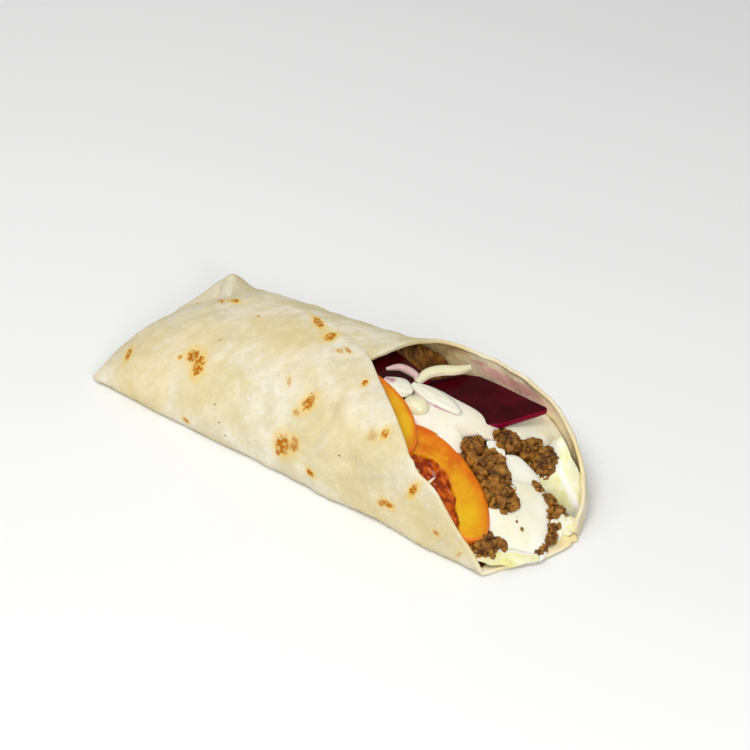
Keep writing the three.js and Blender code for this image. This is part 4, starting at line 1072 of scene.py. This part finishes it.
def beef_bed():
    """The body of the filling under the open face: a grid between the room's floor and the lower of its
    roof and the bumpy face, closed at both ends."""
    stations = np.linspace(*BED_X, 230)
    high = np.array([min(along(v, WIDTH) - BED_FAR_GAP, along(v, TOE_ROOM_Y)) for v in stations])
    share = (1 - np.cos(np.pi * np.linspace(0, 1, 90))) / 2
    y = BED_NEAR_Y + (high - BED_NEAR_Y)[:, None] * share[None]
    x = np.broadcast_to(stations[:, None], y.shape)
    floor = np.maximum(looked_up(FLOOR, x, y), SHEET_THICK) + BED_GAP
    roof = looked_up(ROOF, x, y) - BED_GAP
    dip = BED_DIP * ease(*DIP_Y, y) * ease(*DIP_X, x)
    face = heap_z(x, y) - BED_DEPTH - dip + COVER_LIFT * looked_up(COVER, x, y)
    open_part = ease(*OPEN_X, x)
    top = np.minimum(roof, face * open_part + roof * (1 - open_part))
    place = np.stack([x, y, top], -1)
    bumps = 1.5 * ridged(place, *COARSE_BUMPS) + 0.8 * ridged(place, *FINE_BUMPS)
    top = np.maximum(np.minimum(top + bumps * open_part, roof), floor + 0.4)
    under = np.stack([x, y, np.minimum(floor, top)], -1)
    loop = np.concatenate([np.stack([x, y, top], -1), under[:, ::-1]], 1)
    first, last = (np.broadcast_to(row.mean(0), (1, *row.shape)) for row in (loop[0], loop[-1]))
    points = np.concatenate([first, loop, last])
    return points.reshape(-1, 3), quads_of(len(points), points.shape[1], True)


def beef():
    """The bed, with painted shade in the valleys of its own bumps on an even darkening of the whole bed,
    and the lumps and crumbs on it.
    """
    points, quads = beef_bed()
    coarse, fine = (ease(0.0, -0.9, ridged(points, *bumps)) for bumps in (COARSE_BUMPS, FINE_BUMPS))
    # painted shade: 0.35 all over the bed, more in the valleys of its bumps
    make_piece("beef_bed", points, quads, BEEF, ["beef_filling"],
               values={"crack": 0.35 + 0.4 * coarse + 0.25 * fine})
    for name, node, lumps, seed, crumb in (
            ("beef_lumps_near", "beef_filling", BEEF_NEAR, 11, CRUMB),
            ("beef_lumps_far", "beef_filling", BEEF_FAR, 14, CRUMB),
            ("beef_crumbs", "beef_crumbs_front", BEEF_STRING, 12, STRING_CRUMB)):
        points, quads, values = crumb_heap(lumps, seed, crumb)
        points[:, 2] = np.maximum(points[:, 2], SHEET_THICK + 0.1)
        make_piece(name, points, quads, BEEF, [node], values={"crack": values[:, 0]})


# ---------- lettuce ----------
def lettuce(name, node, place, normal, ahead, length, width, thick, ruffle, folds, seed):
    """A leaf: an oval with sines added to its radius, whose rim waves as a sine times the square of the
    share of the way out. It is thin and closed, with ribs from its middle."""
    angle = np.linspace(0, 2 * np.pi, 120, endpoint=False)
    uneven = 1 + 0.09 * np.sin(3 * angle + seed) + 0.05 * np.sin(7 * angle + 2 * seed)
    uneven = uneven + 0.03 * np.sin(13 * angle)
    ring = np.linspace(0, 1, 34)[:, None]
    x = length / 2 * ring * uneven * np.cos(angle)
    y = width / 2 * ring * uneven * np.sin(angle)
    z = ruffle * ring**2 * np.sin(folds * angle + seed) + 0.12 * width * (1 - ring**2)
    z = z + 0.5 * ring * np.sin(9 * angle + seed) * ease(0.4, 1, ring)
    middle = placed(np.stack([x, y, z], -1), place, normal, ahead)
    heart = middle[0, 0]
    rim = kept_inside(middle[-1], heart, -1.5)
    share = np.linalg.norm(rim - heart, axis=-1) / np.linalg.norm(middle[-1] - heart, axis=-1)
    middle = heart + (middle - heart) * share[None, :, None]
    up = unit(np.array(normal, float))
    half = thick / 2 * (1 - 0.6 * ring)[..., None]
    rib = ease(0.10, 0.02, np.abs(y) / width) + 0.7 * ease(0.12, 0.0, np.abs(np.sin(5 * angle + 2 * ring)))
    faces = np.concatenate([middle + up * half, (middle - up * half)[::-1]])
    rib = np.concatenate([rib, rib[::-1]])
    make_piece(name, faces.reshape(-1, 3), quads_of(len(faces), len(angle), True), LETTUCE,
               [node], values={"rib": np.clip(rib, 0, 1)})


# ---------- sauce ----------
def sauce(name, node, outline, rise, sink, seed, tinted=0.0, lift=0.0):
    """A thick pool on the filling: its outline is a closed curve, its top domes up to rise and its
    underside down to sink, both as the square root of 1 less the cube of the share of the way out."""
    spokes = 150
    flat = closed_curve(outline, spokes)
    centre = flat.mean(0)
    edge = np.column_stack([flat, heap_z(flat[:, 0], flat[:, 1]) + 0.5])
    heart = np.array([centre[0], centre[1], heap_z(centre[0], centre[1]) + 0.5])
    flat = kept_inside(edge, heart, 0.6)[:, :2]
    share = np.linspace(0, 1, 44)[:, None, None]
    xy = centre + share * (flat - centre)
    x, y = xy[..., 0], xy[..., 1]
    dome = np.maximum(1 - share[..., 0]**3, 0)**0.5
    base = heap_z(x, y) + lift
    top = base + rise * dome * (1 + 0.25 * waves(np.stack([x, y, 0 * x], -1), 9.0, seed))
    top = np.minimum(top, looked_up(ROOF, x, y) - 0.5)
    under = np.maximum(base - sink * dome, looked_up(FLOOR, x, y) + 0.3)
    top = np.maximum(top, under)
    points = np.concatenate([np.stack([x, y, top], -1), np.stack([x, y, under], -1)[::-1]])
    values = np.full(points.shape[:2], tinted) * np.concatenate([share[..., 0], share[::-1, :, 0]])
    make_piece(name, points.reshape(-1, 3), quads_of(len(points), spokes, True), SAUCE,
               [node] if node else [], values={"tinted": values.ravel()})


# ---------- the pieces in their places, mm ----------
tortilla()
tomato("tomato_front", "tomato_slice_front", 27.5, 15, 6, FRONT_SLICE, (0.42, -0.1, 0.9),
       (0.87, -0.24, -0.43), FRONT_GEL, FRONT_SLICE, 1)
tomato("tomato_rear", "tomato_slice_rear", 30, 16, 5.5, (30.5, 18.2, 35.3), (0.08, -0.17, 0.98),
       (0.97, -0.26, -0.12), (), (45, 23.5, 35), 2)
beet("beet_front", "beet_slice_front", polygon(BEET_CORNERS), 3.2, (58.5, 70, 31.8), (0.12, -0.16, 1),
     (1, 0.14, -0.1), -6, 1)
beet("beet_rear", "beet_slice_rear", half_ellipse(42, 24), 3, (19, 57, 35.2), (0.08, 0, 1), (1, -0.2, 0),
     0.4, 2)
onion("onion_arch_layer", "onion_arch",
      ((48.5, 66, 36.2), (45.7, 60.5, 37), (41.5, 56.1, 37.6), (38.8, 50.6, 37.9), (38.8, 44, 37.2)),
      5.6, 1.3, 1.2, (0.8, -0.5, -0.1), (((0.0, 1.0), (0.9, 1.1), 0.25),), 0.6, 0.35)
onion("onion_front_layer", "onion_petal_front",
      ((38.5, 41.7, 37), (44.3, 41.7, 36.6), (50.1, 41.8, 35.6), (55.1, 42.3, 34.2), (60, 42.9, 32.6)),
      8, 1.8, 1, (0.3, 0.9, 0.1), (((0.0, 0.8), (-0.1, 0.06), 0.45), ((0.55, 1.1), (-0.1, 0.1), 0.7)))
onion("onion_middle_layer", "onion_petal_middle",
      ((29, 36, 38.6), (33.6, 36.2, 38.6), (37.3, 36.6, 38), (40.5, 37.6, 37.2)),
      9, 1.8, 1, (0.1, 1, 0.1), (((-0.1, 0.3), (0.4, 0.62), 0.65),))
onion("onion_sliver_strip", "onion_sliver",
      ((24.7, 42.5, 38.8), (28, 46.1, 39), (31.8, 46.9, 38.8), (36.1, 46.3, 38.4), (38, 44.5, 37.6)),
      2.8, 1.5, 0.4, (0.2, 0.8, 0.4), (((0.0, 1.0), (0.0, 1.0), 0.45),), 0.2)
onion_bulb()
beef()
lettuce("lettuce_leaf_right", "lettuce_right", (102, 56, 13), (0.3, -0.62, 0.7), (0.7, -0.3, -0.6),
        32, 25, 1.1, 1.8, 3, 1)
lettuce("lettuce_leaf_low", "lettuce_low", (103, 11, 5), (0.25, -0.05, 1), (0.75, 0.65, -0.2),
        28, 12, 1, 0.8, 3, 2)
lettuce("lettuce_leaf_end", "lettuce_end", (113.5, 39, 4.6), (0.45, -0.3, 0.85), (0.3, 1, 0.1),
        13, 9, 1, 0.5, 2, 3)
sauce("sauce_pool_upper", "sauce_upper",
      ((42, 30), (50, 24), (60, 24.5), (69, 25.5), (71, 31), (67.5, 36), (70, 41), (76, 46), (74, 52),
       (64, 52), (54, 50), (44, 48), (39, 40)), 1.7, 3.0, 1, 0.25)
sauce("sauce_pool_far", "sauce_far",
      ((73, 55), (72, 64), (74, 76), (80, 79), (86, 77.5), (92, 74.5), (97, 70.5), (94, 66), (88, 62),
       (82, 57)), 1.6, 2.5, 2)
sauce("sauce_pool_low", "sauce_lower",
      ((90, 38), (95.5, 45), (100, 45.5), (105, 44), (108, 38), (111, 33), (114.5, 27), (116.5, 22),
       (115.6, 17), (111, 14.5), (105.7, 14.5), (99.7, 13), (95, 14), (91, 18), (92, 26), (91, 32)),
      2.4, 3.0, 3)
sauce("sauce_smear_gap", None, ((75, 41), (77, 44.5), (81, 44.5), (83, 42), (81, 39.5), (78, 39)),
      0.4, 3.0, 4, lift=1.8)
sauce("sauce_smear_front", None,
      ((82, 42), (85, 47.5), (90, 48.5), (96, 48), (101, 43), (97, 37), (91, 37), (86, 40)),
      0.5, 3.0, 5, lift=0.9)


# Small bits: place, radii and the way their length points.
LEAF_BITS = (((71, 9.4, 25.2), (2.8, 0.5, 0.3), (0.1, 1, 0.2)),
             ((63.2, 9, 28.4), (2.8, 0.5, 0.3), (0.9, 0.2, -0.4)))
BEEF_BITS = (((100.4, 26, 12.0), (0.9, 0.6, 0.35), (0.7, -0.7, -0.4)),
             ((101.7, 24.1, 11.2), (0.7, 0.5, 0.3), (0.7, -0.7, -0.4)),
             ((104.7, 23.3, 9.6), (0.9, 0.7, 0.35), (0.7, -0.7, -0.4)),
             ((103, 13.6, 7.4), (3.6, 1.8, 0.7), (0.7, -0.7, -0.4)))


def shreds(name, bits, normal, material, key, value):
    """Bits too thin for the solids: small balls, stretched to their radii and turned."""
    ways, quads = ball(8)
    parts = [(placed(ways * radii, place, normal, ahead), quads, np.full(len(ways), value))
             for place, radii, ahead in bits]
    points, quads, values = joined(*parts)
    make_piece(name, points, quads, material, values={key: values[:, 0]})


shreds("leaf_shreds", LEAF_BITS, (0.42, -0.1, 0.9), LETTUCE, "rib", 0.0)
# the beef flecks are darkened evenly by 0.4 through the beef's painted-shade attribute
shreds("beef_flecks", BEEF_BITS, (0.5, 0, 0.85), BEEF, "crack", 0.4)


# ---------- floor, light and camera ----------
FLOOR_HALF = 1.6    # metres, like all that follows
LIGHT_AIM = Vector((0.0, 0.0, 0.02))


def stage():
    """A wide pale floor just under the part."""
    mesh = bpy.data.meshes.new("floor")
    corners = [(x * FLOOR_HALF, y * FLOOR_HALF, 0) for x, y in ((-1, -1), (1, -1), (1, 1), (-1, 1))]
    mesh.from_pydata(corners, [], [(0, 1, 2, 3)])
    floor = bpy.data.objects.new("floor", mesh)
    bpy.context.scene.collection.objects.link(floor)
    material, nodes, shader = new_material("pale floor", Roughness=0.6, Specular_IOR_Level=0.2)
    soft = nodes.noise(nodes.object_place(), 3.0, 1.0)
    nodes.feed(shader.inputs["Base Color"], nodes.blend(soft, srgb(238, 239, 238), srgb(244, 244, 243)))
    mesh.materials.append(material)


def area_light(name, place, size, watts):
    """A round white light that faces LIGHT_AIM."""
    lamp = bpy.data.lights.new(name, "AREA")
    lamp.shape = "DISK"
    lamp.size = size
    lamp.energy = watts
    light = bpy.data.objects.new(name, lamp)
    bpy.context.scene.collection.objects.link(light)
    light.location = place
    light.rotation_euler = (LIGHT_AIM - Vector(place)).to_track_quat("-Z", "Y").to_euler()


CAMERA_AZIMUTH, CAMERA_ELEVATION = np.radians(37.84), np.radians(36.0)
CAMERA_AIM = Vector((-0.00129, 0.0189, 0.017))
CAMERA_DISTANCE = 0.7957
CAMERA_LENS, CAMERA_SENSOR, CAMERA_NEAR = 91.2, 36.0, 0.05


def camera():
    """The photo's camera: back points from CAMERA_AIM to it, at its azimuth and elevation."""
    level, height = np.cos(CAMERA_ELEVATION), np.sin(CAMERA_ELEVATION)
    back = Vector((np.sin(CAMERA_AZIMUTH) * level, -np.cos(CAMERA_AZIMUTH) * level, height))
    data = bpy.data.cameras.new("camera")
    data.lens = CAMERA_LENS
    data.sensor_width = CAMERA_SENSOR
    data.clip_start = CAMERA_NEAR
    view = bpy.data.objects.new("camera", data)
    bpy.context.scene.collection.objects.link(view)
    view.location = CAMERA_AIM + back * CAMERA_DISTANCE
    view.rotation_euler = back.to_track_quat("Z", "Y").to_euler()
    bpy.context.scene.camera = view


def surroundings():
    """An even white sky and the plain view transform."""
    world = bpy.data.worlds.new("studio")
    world.use_nodes = True
    background = world.node_tree.nodes["Background"]
    background.inputs["Color"].default_value = (1.0, 1.0, 1.0, 1.0)
    background.inputs["Strength"].default_value = 0.45
    bpy.context.scene.world = world
    bpy.context.scene.view_settings.view_transform = "Standard"


stage()
area_light("key", (0.1, -0.5, 0.95), 0.45, 4.9)
area_light("fill", (-0.6, -0.2, 0.9), 0.7, 1.8)
area_light("front", (0.75, -0.55, 0.5), 0.35, 3.0)
camera()
surroundings()
